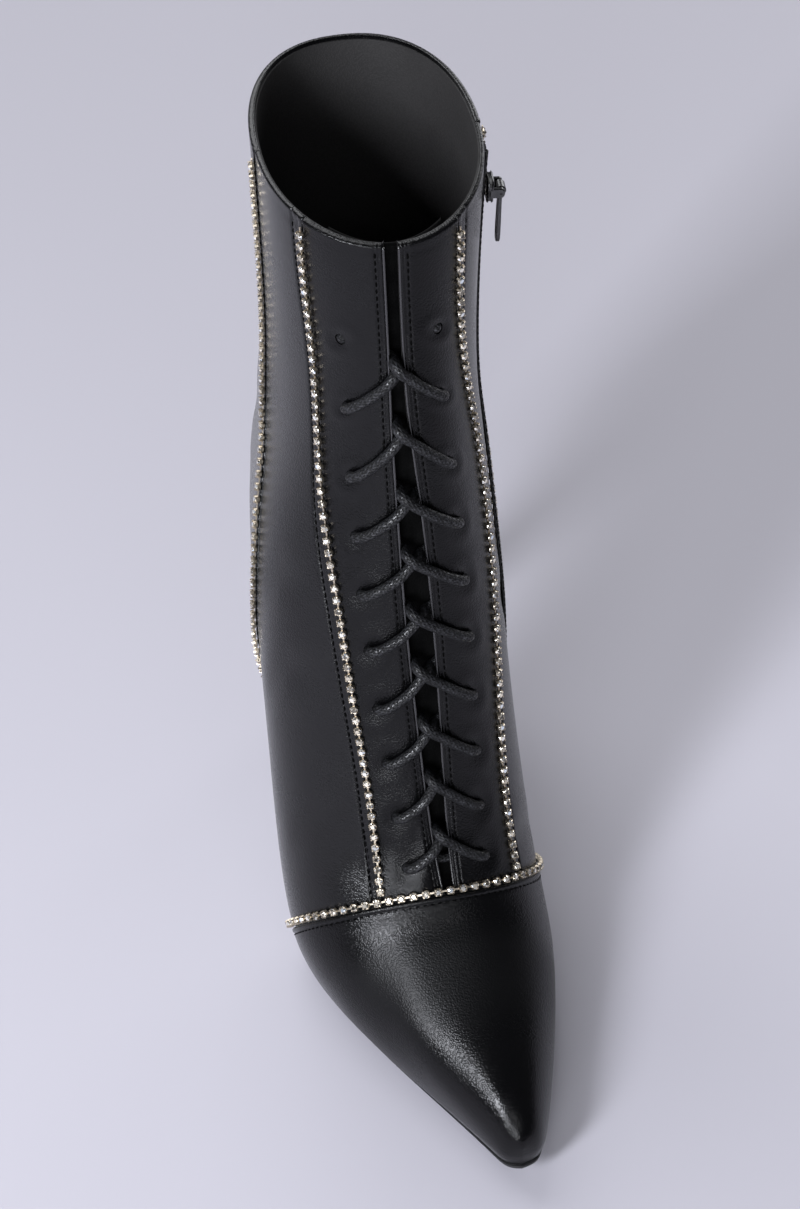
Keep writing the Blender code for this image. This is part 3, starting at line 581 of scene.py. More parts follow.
def shell(name, grids, material, slot=None, replaces=()):
    # a closed sheet from grids of (base points, outer lift, inner lift)
    points, faces, outer, inner = [], [], [], []
    count = 0
    for base, high, low in grids:
        faces.append(gridFaces(*base.shape[:2], count))
        points.append(base.reshape(-1, 3))
        outer.append(np.broadcast_to(high, base.shape[:2]).ravel())
        inner.append(np.broadcast_to(low, base.shape[:2]).ravel())
        count += base.shape[0] * base.shape[1]
    points, faces = np.vstack(points), np.vstack(faces)
    _, keep, index = np.unique(np.round(points, 3) + 0.0, axis=0, return_index=True, return_inverse=True)
    points, faces = points[keep], index.ravel()[faces]
    outer, inner = np.concatenate(outer)[keep], np.concatenate(inner)[keep]
    normals = np.zeros_like(points)
    turn = np.cross(points[faces[:, 2]] - points[faces[:, 0]], points[faces[:, 3]] - points[faces[:, 1]])
    for corner in range(4):
        np.add.at(normals, faces[:, corner], turn)
    normals = unit(normals)
    clean = []
    for face in faces.tolist():
        corners = list(dict.fromkeys(face))
        if len(corners) > 2:
            clean.append(corners)
    edges = {}
    for face in clean:
        for a, b in zip(face, face[1:] + face[:1]):
            edges[a, b] = True
    count = len(points)
    solid = clean + [[i + count for i in reversed(face)] for face in clean]
    solid += [[b, a, a + count, b + count] for a, b in edges if (b, a) not in edges]
    skins = np.vstack([points + normals * outer[:, None], points + normals * inner[:, None]])
    return addPiece(name, skins, solid, material, "boot", slot, replaces)


def roll(distance, radius, height):
    # how far a turned edge drops away towards its rim
    return height * (1 - np.sqrt(np.clip(1 - (1 - np.clip(distance / radius, 0, 1)) ** 2, 0, 1)))


def groove(distance, place, width, depth):
    return -depth * np.exp(-(((distance - place) / width) ** 2))


def rowDistance(base):
    # distances along each column from the first row, and from the last
    step = np.linalg.norm(np.diff(base, axis=0), axis=2)
    up = np.vstack([np.zeros((1, base.shape[1])), np.cumsum(step, axis=0)])
    return up, up[-1] - up


def surface(rows, arcs):
    # a grid on the upper, with its distances from the first row and from the last
    stations = np.broadcast_to(rows[:, None], arcs.shape)
    base = onUpper(stations, arcs)
    return (stations, base, *rowDistance(base))


# soft creases, listed one by one: a line of (station, distance) with a depth, a half-width and a ridge beside
# it, in mm
creases = (
    dict(line=((7.55, -34), (7.35, -14), (7.4, 8), (7.6, 30)), depth=0.16, width=5.0, ridge=0.5),
    dict(line=((7.3, -12), (6.4, -16), (5.4, -19.5), (4.2, -18), (2.8, -13), (1.6, -8)),
         depth=-1.0, width=8.0, ridge=0.0),
    dict(line=((8.8, 1), (8.92, -9), (8.95, -20), (9.0, -30), (9.15, -46)), depth=1.0, width=6.5, ridge=0.25),
    dict(line=((9.8, -28), (9.95, -44), (9.8, -60)), depth=0.35, width=5.0, ridge=0.4),
    dict(line=((8.85, 27), (9.05, 38), (9.15, 54)), depth=0.6, width=4.4, ridge=0.4),
    dict(line=((12.7, -34), (13.1, -52), (12.9, -70)), depth=0.5, width=5.0, ridge=0.45),
    dict(line=((13.6, 32), (13.9, 46), (13.7, 56)), depth=0.5, width=4.6, ridge=0.45),
    dict(line=((14.6, -38), (14.9, -54), (14.7, -66)), depth=0.35, width=5.0, ridge=0.4),
    dict(line=((19.6, -92), (19.3, -112), (19.1, -128)), depth=0.5, width=6.0, ridge=0.4),
    dict(line=((19.7, 90), (19.4, 110), (19.2, 126)), depth=0.5, width=6.0, ridge=0.4),
    dict(line=((8.2, -3), (8.42, -7), (8.62, -14)), depth=-0.35, width=2.4, ridge=-0.5),
)
stationMm = 15.0


def creaseLift(station, arc):
    lift = np.zeros(np.broadcast(station, arc).shape)
    for crease in creases:
        line = np.array(crease["line"], float) * (stationMm, 1)
        best = np.full(lift.shape, 1e9)
        side = np.zeros(lift.shape)
        fade = np.zeros(lift.shape)
        total = len(line) - 1
        for i, (a, b) in enumerate(zip(line[:-1], line[1:])):
            run = b - a
            u = station * stationMm - a[0]
            v = arc - a[1]
            t = np.clip((u * run[0] + v * run[1]) / (run @ run), 0, 1)
            away = np.hypot(u - t * run[0], v - t * run[1])
            closer = away < best
            best = np.where(closer, away, best)
            side = np.where(closer, np.sign(u * run[1] - v * run[0]), side)
            fade = np.where(closer, np.sin(math.pi * (i + t) / total), fade)
        reach = best * side / crease["width"]
        swell = crease["ridge"] * (np.exp(-((reach - 1.7) ** 2)) + 0.6 * np.exp(-((reach + 1.8) ** 2)))
        lift += crease["depth"] * fade * (swell - np.exp(-(reach**2)))
    return lift


# lace holes, from the toe seam upwards
holes = dict(
    stations=(8.65, 9.6, 10.65, 11.8, 13.1, 14.35, 15.6, 17.05, 19.15, 21.25), radius=1.75,
    insetMedial=11.5, insetLow=9.5, insetHigh=15.0, pucker=0.42, puckerWidth=3.2, rim=0.55, rimAt=1.7,
    punchSides=20, punchReach=5, sharp=50,
)


def holeArc(index, side):
    edge = float(gapEdge(holes["stations"][index], side))
    if side > 0:
        return edge + holes["insetMedial"]
    share = index / (len(holes["stations"]) - 1)
    return edge - holes["insetLow"] - (holes["insetHigh"] - holes["insetLow"]) * share


def puckerLift(station, arc):
    lift = np.zeros(np.broadcast(station, arc).shape)
    for index, place in enumerate(holes["stations"]):
        for side in sideName:
            away = np.hypot((station - place) * stationMm, arc - holeArc(index, side)) / holes["puckerWidth"]
            rim = holes["rim"] * np.exp(-((away - holes["rimAt"]) ** 2) * 2)
            lift += holes["pucker"] * (rim - np.exp(-(away**2)))
    return lift


# leather panels
panel = dict(
    step=0.5, back=-1.25, least=0.12, lining=(-1.32, -1.8), vampEnd=8.02, shaftStart=8.03, rows=150, skive=6,
    grooveDepth=0.24, foldStrip=1.4, foldStitch=0.55, stitchInset=2.45, backStitch=2.5,
    chainStitch=3.7, chainStitchRise=1.2, chainStitchSpan=(11, 16),
    collarRoll=0.8, collarStitch=(3.0, 0.45), narrow=14,
)
# distances in from a turned edge, and stations in from a panel's end, where points are packed
edgeSteps = np.array((0, 0.05, 0.14, 0.28, 0.46, 0.7, 1.0, 1.35, 1.7, 2.0, 2.25,
                      2.5, 2.8, 3.1, 3.4, 3.7, 4.0, 4.3, 4.6, 4.9, 5.2, 5.6))
rimSteps = np.array((0, 0.004, 0.01, 0.02, 0.034, 0.052, 0.08, 0.12))
collarSteps = rimSteps * 0.75


def spread(low, high, count):
    # places from low to high, two columns of numbers, packed where the edges are turned
    low, high = low[:, None], high[:, None]
    steps = edgeSteps * np.minimum(1, (high - low) / panel["narrow"])
    head, tail = low + steps, high - steps[:, ::-1]
    first, final = head[:, -1:], tail[:, :1]
    inner = np.linspace(0, 1, count + 2)[None, :]
    return np.hstack([head, (first + (final - first) * inner)[:, 1:-1], tail])


def shaftRows():
    low = panel["shaftStart"] + rimSteps
    high = last["collar"] - collarSteps[::-1]
    return np.concatenate([low, np.linspace(low[-1], high[0], panel["rows"] + 2)[1:-1], high])


def strip(side, innerLine, outerLine, columns):
    # a panel between two lines: rows, distances round, stations, points, then distances from its four edges
    rows = shaftRows()
    inner, outer = side * innerLine(rows, side), side * outerLine(rows, side)
    places = spread(inner, outer, columns)
    return rows, places, *surface(rows, side * places), places - inner[:, None], outer[:, None] - places


def collarEdge(lift, down, drop):
    # the panel's top edge, turned in and sewn
    sewn = groove(down, *panel["collarStitch"], panel["grooveDepth"])
    return lift - roll(down, panel["collarRoll"], drop) + sewn


def flip(side, *grids):
    # grids in the order that faces them outwards
    return tuple(grid if side > 0 else grid[:, ::-1] for grid in grids)


def panelSkins(side, base, lift):
    # the base, the outer lift and the inner one
    low = np.minimum(np.full(lift.shape, panel["back"]), lift - panel["least"])
    return flip(side, base, lift, low)


def punchHoles(piece, sides):
    points, faces = [], []
    count, reach = holes["punchSides"], holes["punchReach"]
    c, s = circle(count)
    for index, station in enumerate(holes["stations"]):
        for side in sides:
            point, normal, along = frameOn(station, holeArc(index, side))
            ring = holes["radius"] * (c[:, None] * np.cross(along, normal) + s[:, None] * along)
            faces += ringFaces(2, count, len(points))
            points += list(point + normal * -reach + ring) + list(point + normal * reach + ring)
    punch = outward(addPiece("punch", points, faces, finishes["leather"], None))
    cut = piece.modifiers.new("holes", "BOOLEAN")
    cut.operation, cut.object = "DIFFERENCE", punch
    settle(piece)
    bpy.data.objects.remove(punch)
    piece.data.shade_smooth()
    sharpen(piece, holes["sharp"])


vampSet = dict(
    tip=(0, 0.04, 0.1, 0.18, 0.28, 0.4, 0.55, 0.72, 0.9, 1.1, 1.35, 1.6, 1.85, 2.1),
    top=(0, 0.004, 0.011, 0.022, 0.036, 0.055, 0.08, 0.105, 0.13, 0.155, 0.19),
    rows=84, columns=161, foldRise=0.22, foldStep=(0.35, 0.15), stitchWidth=0.4, topRoll=(0.75, 1.1),
)


def makeVamp():
    # the pointed toe, with its top edge turned under and sewn down
    tip = np.array(vampSet["tip"])
    top = panel["vampEnd"] - np.array(vampSet["top"])[::-1]
    rows = np.concatenate([tip, np.linspace(tip[-1], top[0], vampSet["rows"])[1:-1], top])
    shares = np.linspace(-1, 1, vampSet["columns"])
    lengths = np.where(shares < 0, sectionLength(rows, -1)[:, None], sectionLength(rows, 1)[:, None])
    arcs = shares * lengths
    stations, base, _, fromTop = surface(rows, arcs)
    skive = smooth(lengths - np.abs(arcs), 0, panel["skive"])
    fold, (before, after) = panel["foldStrip"], vampSet["foldStep"]
    raised = vampSet["foldRise"] * smooth(-fromTop, -fold - before, -fold + after)
    lift = (panel["step"] * skive + raised * skive + creaseLift(stations, arcs) * skive
            + groove(fromTop, fold + panel["foldStitch"], vampSet["stitchWidth"], panel["grooveDepth"])
            - roll(fromTop, *vampSet["topRoll"]))
    low = np.full(lift.shape, panel["back"])
    return shell("toe_vamp", [(base, lift, low)], finishes["toe"], "black_leather")


facingSet = dict(
    columns=26, sunk=0.45, sunkReach=3.2, soften=(2, 6), stitchWidth=0.42,
    beadGroove=(1.45, 0.3, 0.3), ledge=0.3, ledgeStep=(1.7, 2.1),
    gapRoll=(0.9, 1.5), chainRoll=(0.7, 0.9), seamRoll=(0.6, 0.8), collarDrop=1.3,
)


def makeFacing(side):
    # the laced front panel between the opening and the front chain
    look = facingSet
    _, places, stations, base, up, down, fromGap, fromChain = strip(side, gapEdge, chainEdge, look["columns"])
    arcs = side * places
    sunk = look["sunk"] * (1 - smooth(up, 0, look["sunkReach"]))
    if side > 0:
        border = groove(fromGap, *look["beadGroove"])
    else:
        border = -look["ledge"] * (1 - smooth(fromGap, *look["ledgeStep"]))
    lift = (panel["step"] - sunk + creaseLift(stations, arcs) * smooth(fromGap, *look["soften"])
            + puckerLift(stations, arcs) + border
            + groove(fromGap, panel["stitchInset"], look["stitchWidth"], panel["grooveDepth"])
            - roll(fromGap, *look["gapRoll"]) - roll(fromChain, *look["chainRoll"])
            - roll(up, *look["seamRoll"]))
    grid = panelSkins(side, base, collarEdge(lift, down, look["collarDrop"]))
    piece = shell(f"facing_{sideName[side]}", [grid], finishes["leather"], "black_leather")
    punchHoles(piece, (side,))
    return piece


quarterSet = dict(
    columns=40, featherTo=(11.5, 12.1), sunk=0.3, sunkReach=3.0, fold=0.2, foldStep=(1.6, 2.3),
    softenFront=(1, 6), softenBack=(0, 6), stitch=(0.45, 0.36),
    frontRoll=(0.7, 0.9), backRoll=(0.7, 0.8), seamRoll=(0.6, 0.7), collarDrop=1.0,
)


def makeQuarter(side):
    # the side panel from the front chain to the back panel or the feather line
    look = quarterSet
    grid = strip(side, chainEdge, backEdge, look["columns"])
    rows, places, stations, base, up, down, fromFront, fromBack = grid
    lasted = 1 - smooth(rows, *look["featherTo"])[:, None]
    skive = 1 - lasted * (1 - smooth(sectionLength(rows, side)[:, None] - places, 0, panel["skive"]))
    sunk = look["sunk"] * (1 - smooth(up, 0, look["sunkReach"]))
    fold = look["fold"] * (1 - smooth(fromFront, *look["foldStep"]))
    crease = creaseLift(stations, side * places) * skive * smooth(fromFront, *look["softenFront"])
    lift = (fold - sunk * skive + crease * smooth(fromBack, *look["softenBack"])
            + groove(fromFront, chainStitch(stations), *look["stitch"])
            - roll(fromFront, *look["frontRoll"]) - roll(fromBack, *look["backRoll"]) * (1 - lasted)
            - roll(up, *look["seamRoll"]) * skive)
    grid = panelSkins(side, base, collarEdge(lift, down, look["collarDrop"]))
    return shell(f"quarter_{sideName[side]}", [grid], finishes["side"], "black_leather")


def towardEnd(station, side, arc, shares):
    # places that lie, in side view, given shares of the way from an arc to the end of the section
    points, distance = halfSection(station, side)
    fall = np.hypot(points[:, 0] - points[0, 0], points[:, 2] - points[0, 2])
    start = np.interp(arc, distance, fall)
    return np.interp(start + (fall[-1] - start) * shares, fall, distance)


# spans of rows as (first station, last station, count)
backSet = dict(
    spans=((11.45, 17, 70), (17, 17.96, 22), (17.985, 18, 2), (18.06, 19, 12)), shaft=(19.05, 62),
    leastWide=0.02, narrow=8, clear=0.25, skive=5, soften=(0, 6), stitchWidth=0.4,
    stepWide=(0, 6), stitchWide=(2, 8), rollWide=(0, 4), edgeRoll=(0.7, 0.9), collarDrop=1.3,
)


def makeBackPanel():
    # one panel round the heel, from chain to chain, with two legs that run down to the feather line
    look, closed = backSet, last["closed"]
    spans = [np.linspace(*span) for span in look["spans"]]
    first, count = look["shaft"]
    spans.append(np.linspace(first, last["collar"] - collarSteps[-1], count))
    rows = np.unique(np.concatenate([*spans, last["collar"] - collarSteps]))
    shares = np.concatenate([np.linspace(0, 0.6, 16)[:-1], 1 - 0.4 * np.linspace(1, 0, 24) ** 1.7])
    grids = []
    for side in sideName:
        inner, end = side * backEdge(rows, side), sectionLength(rows, side)
        wide = np.maximum(end - inner, look["leastWide"])
        steps = edgeSteps[:-1] * np.minimum(1, wide / look["narrow"])[:, None]
        starts = inner + steps[:, -1] + look["clear"]
        rest = np.array([towardEnd(row, side, start, shares) for row, start in zip(rows, starts)])
        places = np.minimum(np.hstack([inner[:, None] + steps, rest]), end[:, None])
        places[:, -1] = end
        arcs = side * places
        stations, base, _, down = surface(rows, arcs)
        fromEdge = places - inner[:, None]
        lasted = smooth(end[:, None] - places, 0, look["skive"])
        lasted = np.maximum(lasted, smooth(stations, closed, closed + 1))
        skive = np.where(stations < closed + 1, lasted, 1)
        full, sewn, rolled = (smooth(wide, *look[k])[:, None] for k in ("stepWide", "stitchWide", "rollWide"))
        lift = (panel["step"] * skive * full
                + creaseLift(stations, arcs) * skive * smooth(fromEdge, *look["soften"])
                + groove(fromEdge, panel["backStitch"], look["stitchWidth"], panel["grooveDepth"]) * sewn
                - roll(fromEdge, *look["edgeRoll"]) * rolled)
        grids.append(panelSkins(side, base, collarEdge(lift, down, look["collarDrop"])))
    return shell("back_panel", grids, finishes["side"], "black_leather")


liningSet = dict(spans=((0.25, 17, 84), (17, 18, 14), (18.1, 23.97, 40)), columns=40, inset=0.25)


def makeLining():
    # the thin lining that backs every panel
    rows = np.unique(np.concatenate([np.linspace(*span) for span in liningSet["spans"]]))
    shares = np.linspace(0, 1, liningSet["columns"]) ** 0.9
    closedFront = gapMiddle(rows) * np.minimum(rows / last["seam"], 1)
    grids = []
    for side in sideName:
        openFront = gapEdge(np.maximum(rows, last["seam"]), side) + side * liningSet["inset"]
        front = np.where(rows < last["seam"], closedFront, openFront)
        end = sectionLength(rows, side)
        places = side * front[:, None] + (end - side * front)[:, None] * (1 - (1 - shares) ** 1.25)
        base = surface(rows, side * places)[1]
        grids.append(flip(side, base, *(np.full(places.shape, depth) for depth in panel["lining"])))
    piece = shell("upper_lining", grids, finishes["lining"], "black_leather")
    punchHoles(piece, tuple(sideName))
    return piece


vamp = makeVamp()
panels = [vamp] + [make(side) for make in (makeFacing, makeQuarter) for side in sideName]
panels.append(makeBackPanel())
lining = makeLining()
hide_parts("upper")
print("upper made:", sum(len(p.data.polygons) for p in panels + [lining]), "faces")


# tongue, pressed back by the lace that runs under the facings
tongueSet = dict(half=24.0, drop=5.15, thick=1.3, first=7.5, final=23.7, rows=110, columns=49,
                 narrow=(7.4, 10), sag=0.25, sagPitch=0.9, sagReach=2.2, rim=(1.2, 0.8))


def makeTongue():
    rows = np.linspace(tongueSet["first"], tongueSet["final"], tongueSet["rows"])
    half = tongueSet["half"] * (0.75 + 0.25 * smooth(rows, *tongueSet["narrow"]))
    across = np.linspace(-1, 1, tongueSet["columns"])
    stations, base, _, down = surface(rows, gapMiddle(rows)[:, None] + half[:, None] * across)
    wave = np.cos(stations * 2 * math.pi / tongueSet["sagPitch"])
    sag = -tongueSet["sag"] * wave * np.exp(-((across * tongueSet["sagReach"]) ** 2))
    rim = roll(half[:, None] * (1 - np.abs(across)), *tongueSet["rim"]) + roll(down, *tongueSet["rim"])
    top = -tongueSet["drop"] + sag - rim
    low = np.full(top.shape, -tongueSet["drop"] - tongueSet["thick"]) + sag
    return shell("tongue_leather", [(base, top, low)], finishes["tongue"], "tongue_leather", ("tongue",))


makeTongue()


# lace: one cord, up through each hole, over the facing and the gap, under the far facing, to the next hole
laceSet = dict(
    radius=1.6, sides=18, step=0.7, bow={-1: 1.8, 1: 1.5}, rise=0.6, nearRise=0.7, climb={-1: 0.8, 1: 1.0},
    rest=2.12, over=3.0, under=-3.6, turn=1.5, meet=0.62, crown=0.84,
    # (station, distance towards the gap, height) up through the hole
    hole=((0.0, 0.0, -2.9), (0.0, 0.0, -0.6), (0.01, 0.5, 1.3)),
    # (share of the way, height above rest) over the facing, and the height above rest at its edge
    bar=((0.16, 0.0), (0.36, 0.2), (0.58, 0.25)), edge={-1: -0.1, 1: 0.35},
    # (share of the climb, distance past the stop, height) down through the gap
    dive={-1: ((1.0, 0.0, -0.15), (1.0, -1.5, -2.7)), 1: ((1.0, 0.25, 2.1), (1.03, -0.2, -0.6))},
    # (share of the climb, distance past the edge) under the far facing, and the way on to the next hole
    tuck={-1: (1.05, -1.2), 1: (1.1, -1.0)}, far=0.75, goal=(-0.03, 1.6, -0.05),
    top=(-2.4, -0.7, 0.75), tail=1.2, tip=0.08, swell=((0.025, 0.83, 0), (0.02, 0.31, 1)),
)


def laceRun(index, side):
    # (station, distance, height) of one visible bar and its way under the far facing to the next hole
    here, there = holes["stations"][index], holes["stations"][index + 1]
    rise = laceSet["rise"] * (there - here)
    start, goal = holeArc(index, side), holeArc(index + 1, -side)
    near, far = float(gapEdge(here + rise * laceSet["nearRise"], side)), float(gapEdge(here + rise, -side))
    rest, bow, over = laceSet["rest"], laceSet["bow"][side], side > 0
    # the inner bar lies over the outer one, which ends beneath it in the middle of the gap
    stop = far + side * laceSet["turn"] if over else near + laceSet["meet"] * (far - near)
    climb = laceSet["climb"][side] * rise

    def onBar(share, height):
        return here + climb * share**bow, start + (stop - start) * share, height

    nodes = [(here + up, start - side * inward, height) for up, inward, height in laceSet["hole"]]
    nodes += [onBar(share, rest + height) for share, height in laceSet["bar"]]
    edge = ((near - start) / (stop - start)) ** bow
    nodes.append((here + climb * edge, near, rest + laceSet["edge"][side]))
    if over:
        nodes.append(onBar(laceSet["crown"], laceSet["over"]))
    for share, past, height in laceSet["dive"][side]:
        nodes.append((here + climb * share, stop + side * past, height))
    share, past = laceSet["tuck"][side]
    nodes.append((here + climb * share, far + side * past, laceSet["under"]))
    nodes.append((here + laceSet["far"] * (there - here), 0.5 * (far + goal), laceSet["under"]))
    up, past, sink = laceSet["goal"]
    nodes.append((there + up, goal + side * past, laceSet["under"] + sink))
    return nodes


def laceRoute():
    strands = []
    for first in (-1, 1):
        nodes = []
        for index in range(len(holes["stations"]) - 1):
            nodes += laceRun(index, first * (-1) ** index)
        top, final = holes["stations"][-1], first * (-1) ** (len(holes["stations"]) - 1)
        arc = holeArc(len(holes["stations"]) - 1, final)
        nodes += [(top, arc, height) for height in laceSet["top"]]
        strands.append(nodes)
    low = holes["stations"][0]
    bar = [(low, 0.5 * holeArc(0, -1), laceSet["under"]), (low, 0.5 * holeArc(0, 1), laceSet["under"])]
    return strands[0][::-1] + bar + strands[1]


def through(nodes, step):
    # a smooth curve through points, read at equal steps
    nodes = np.asarray(nodes, float)
    knots = np.concatenate([[0], np.cumsum(np.sqrt(np.linalg.norm(np.diff(nodes, axis=0), axis=1)))])
    rows = [(k, *p) for k, p in zip(knots, nodes)]
    curve = TableCurve("k x y z", rows)
    fine = curve.read(np.linspace(0, knots[-1], len(nodes) * 24))
    line = np.column_stack([fine[c] for c in "xyz"])
    run = runOf(line)
    at = np.linspace(0, run[-1], max(int(run[-1] / step), 4))
    return np.column_stack([np.interp(at, run, line[:, i]) for i in range(3)]), at


def tube(name, path, radii, sides, material, **dressing):
    # a closed tube along a path, whose rings turn as little as they can
    along = unit(np.gradient(path, axis=0))
    across = np.zeros_like(path)
    start = np.cross(along[0], (0.3, 0.2, 0.9))
    for i, direction in enumerate(along):
        start = start - direction * (start @ direction)
        start = start / np.linalg.norm(start)
        across[i] = start
    other = np.cross(along, across)
    c, s = circle(sides)
    ring = c[None, :, None] * across[:, None] + s[None, :, None] * other[:, None]
    rings = path[:, None] + ring * np.asarray(radii)[:, None, None]
    return addPiece(name, rings.reshape(-1, 3), ringFaces(len(path), sides), material, **dressing)


def makeLace():
    path, at = through(lifted(*np.array(laceRoute()).T), laceSet["step"])
    tail = np.clip(np.minimum(at, at[-1] - at) / laceSet["tail"], 0, 1)
    swell = 1
    for size, pace, start in laceSet["swell"]:
        swell = swell + size * np.sin(at * pace + start)
    radii = laceSet["radius"] * np.sqrt(np.clip(1 - (1 - tail) ** 2, laceSet["tip"], 1)) * swell
    hidden = [f"lace_cross_{i + 1:02d}" for i in range(len(holes["stations"]) - 1)]
    sides = laceSet["sides"]
    piece = tube("lace", path, radii, sides, finishes["lace"], slot="waxed_lace", replaces=hidden)
    route = piece.data.uv_layers.new(name="route")
    for polygon in piece.data.polygons:
        ring = [v // sides for v in polygon.vertices]
        turn = [v % sides for v in polygon.vertices]
        wrap = 0 in turn and sides - 1 in turn and len(turn) == 4
        for loop, r, t in zip(polygon.loop_indices, ring, turn):
            route.data[loop].uv = (at[r], (t + sides * (wrap and t == 0)) / sides)
    print("lace made:", round(at[-1]), "mm long")
    return piece


makeLace()


pipingSet = dict(points=220, sides=8, radius=0.42, end=0.06, inset=0.12, lift=0.16)


def makePiping(side):
    # the painted bead along the facing's turned edge
    count = pipingSet["points"]
    stations = np.linspace(panel["shaftStart"] + pipingSet["end"], last["collar"] - pipingSet["end"], count)
    arcs = gapEdge(stations, side) + side * pipingSet["inset"]
    path = lifted(stations, arcs, np.full(count, pipingSet["lift"]))
    radii = np.full(count, pipingSet["radius"])
    return tube(f"edge_piping_{sideName[side]}", path, radii, pipingSet["sides"], finishes["edge"],
                slot="black_leather")


for facingSide in sideName:
    makePiping(facingSide)


# repeats: trees that put shapes along lines
def newTree(name, inputs):
    tree = bpy.data.node_groups.new(name, "GeometryNodeTree")
    for label, kind in (("Points", "Geometry"), *inputs):
        tree.interface.new_socket(label, in_out="INPUT", socket_type="NodeSocket" + kind)
    tree.interface.new_socket("Made", in_out="OUTPUT", socket_type="NodeSocketGeometry")
    return tree, tree.nodes.new("NodeGroupInput"), tree.nodes.new("NodeGroupOutput")


def addNode(tree, kind, settings=None, links=None):
    node = tree.nodes.new(kind)
    for key, value in (settings or {}).items():
        setattr(node, key, value)
    for key, value in (links or {}).items():
        if isinstance(value, bpy.types.NodeSocket):
            tree.links.new(value, node.inputs[key])
        else:
            node.inputs[key].default_value = value
    return node


def repeatTree(name, shapes, spark=False):
    # each shape is set on every point, turned to the surface and along the line, and given its finish
    inputs = [pair for shape in shapes for pair in ((shape, "Object"), (shape + " finish", "Material"))]
    tree, given, result = newTree(name, [*inputs, ("Size", "Float"), ("Seed", "Int")])
    up = addNode(tree, "GeometryNodeInputNamedAttribute", {"data_type": "FLOAT_VECTOR"}, {"Name": "up"})
    ahead = addNode(tree, "GeometryNodeInputNamedAttribute", {"data_type": "FLOAT_VECTOR"}, {"Name": "ahead"})
    stand = addNode(tree, "FunctionNodeAlignRotationToVector", {"axis": "Z"}, {"Vector": up.outputs[0]})
    turn = addNode(tree, "FunctionNodeAlignRotationToVector", {"axis": "X", "pivot_axis": "Z"},
                   {"Rotation": stand.outputs[0], "Vector": ahead.outputs[0]})
    join = tree.nodes.new("GeometryNodeJoinGeometry")
    for shape in reversed(shapes):
        source = addNode(tree, "GeometryNodeObjectInfo", None, {"Object": given.outputs[shape]})
        copies = addNode(tree, "GeometryNodeInstanceOnPoints", None, {
            "Points": given.outputs["Points"], "Instance": source.outputs["Geometry"],
            "Rotation": turn.outputs[0], "Scale": given.outputs["Size"]})
        real = addNode(tree, "GeometryNodeRealizeInstances", None, {0: copies.outputs[0]})
        made = real.outputs[0]
        # a random value on each face, which the stone's finish reads as painted sparkle
        if spark:
            chance = addNode(tree, "FunctionNodeRandomValue", {"data_type": "FLOAT"},
                             {"Seed": given.outputs["Seed"]})
            drawn = next(s for s in chance.outputs if s.type == "VALUE")
            kept = addNode(tree, "GeometryNodeStoreNamedAttribute", {"data_type": "FLOAT", "domain": "FACE"},
                           {"Geometry": made, "Name": "spark", "Value": drawn})
            made = kept.outputs[0]
        painted = addNode(tree, "GeometryNodeSetMaterial", None,
                          {"Geometry": made, "Material": given.outputs[shape + " finish"]})
        tree.links.new(painted.outputs[0], join.inputs[0])
    tree.links.new(join.outputs[0], result.inputs[0])
    return tree


def repeat(name, tree, points, up, ahead, values, slot, replaces=()):
    mesh = bpy.data.meshes.new(name)
    mesh.from_pydata([tuple(p) for p in toWorld(points).tolist()], [], [])
    for key, data in (("up", up), ("ahead", ahead)):
        vectors = np.asarray(data, np.float32).ravel()
        mesh.attributes.new(key, "FLOAT_VECTOR", "POINT").data.foreach_set("vector", vectors)
    carrier = linked(name, mesh)
    modifier = carrier.modifiers.new(name, "NODES")
    modifier.node_group = tree
    for item in tree.interface.items_tree:
        if item.in_out == "INPUT" and item.name in values:
            modifier[item.identifier] = values[item.name]
    settle(carrier, preserve_all_data_layers=True)
    return dress(carrier, "boot", replaces)


def seed(name, build, flat=True):
    # one small shape, built in millimetres, that a tree repeats
    mesh = bmesh.new()
    build(mesh)
    bmesh.ops.recalc_face_normals(mesh, faces=mesh.faces)
    data = bpy.data.meshes.new(name)
    bmesh.ops.scale(mesh, vec=(0.001,) * 3, verts=mesh.verts)
    mesh.to_mesh(data)
    mesh.free()
    if not flat:
        data.shade_smooth()
    made = linked(name, data)
    made.hide_render = True
    return made


def ringOf(mesh, radius, height, count, turn=0.0, square=0.0):
    # a ring of points; square above 0 pushes it out towards four corners
    made = []
    for i in range(count):
        angle = 2 * math.pi * (i + turn) / count
        reach = radius * (1 + square * math.cos(4 * angle + math.pi) if square else 1)
        made.append(mesh.verts.new((reach * math.cos(angle), reach * math.sin(angle), height)))
    return made


def band(mesh, low, high):
    count = len(low)
    for i in range(count):
        k = (i + 1) % count
        mesh.faces.new((low[i], low[k], high[k], high[i]))


def closeRows(mesh, rows):
    # a solid through rows of points
    for low, high in zip(rows[:-1], rows[1:]):
        band(mesh, low, high)
    mesh.faces.new(rows[0])
    mesh.faces.new(rows[-1])


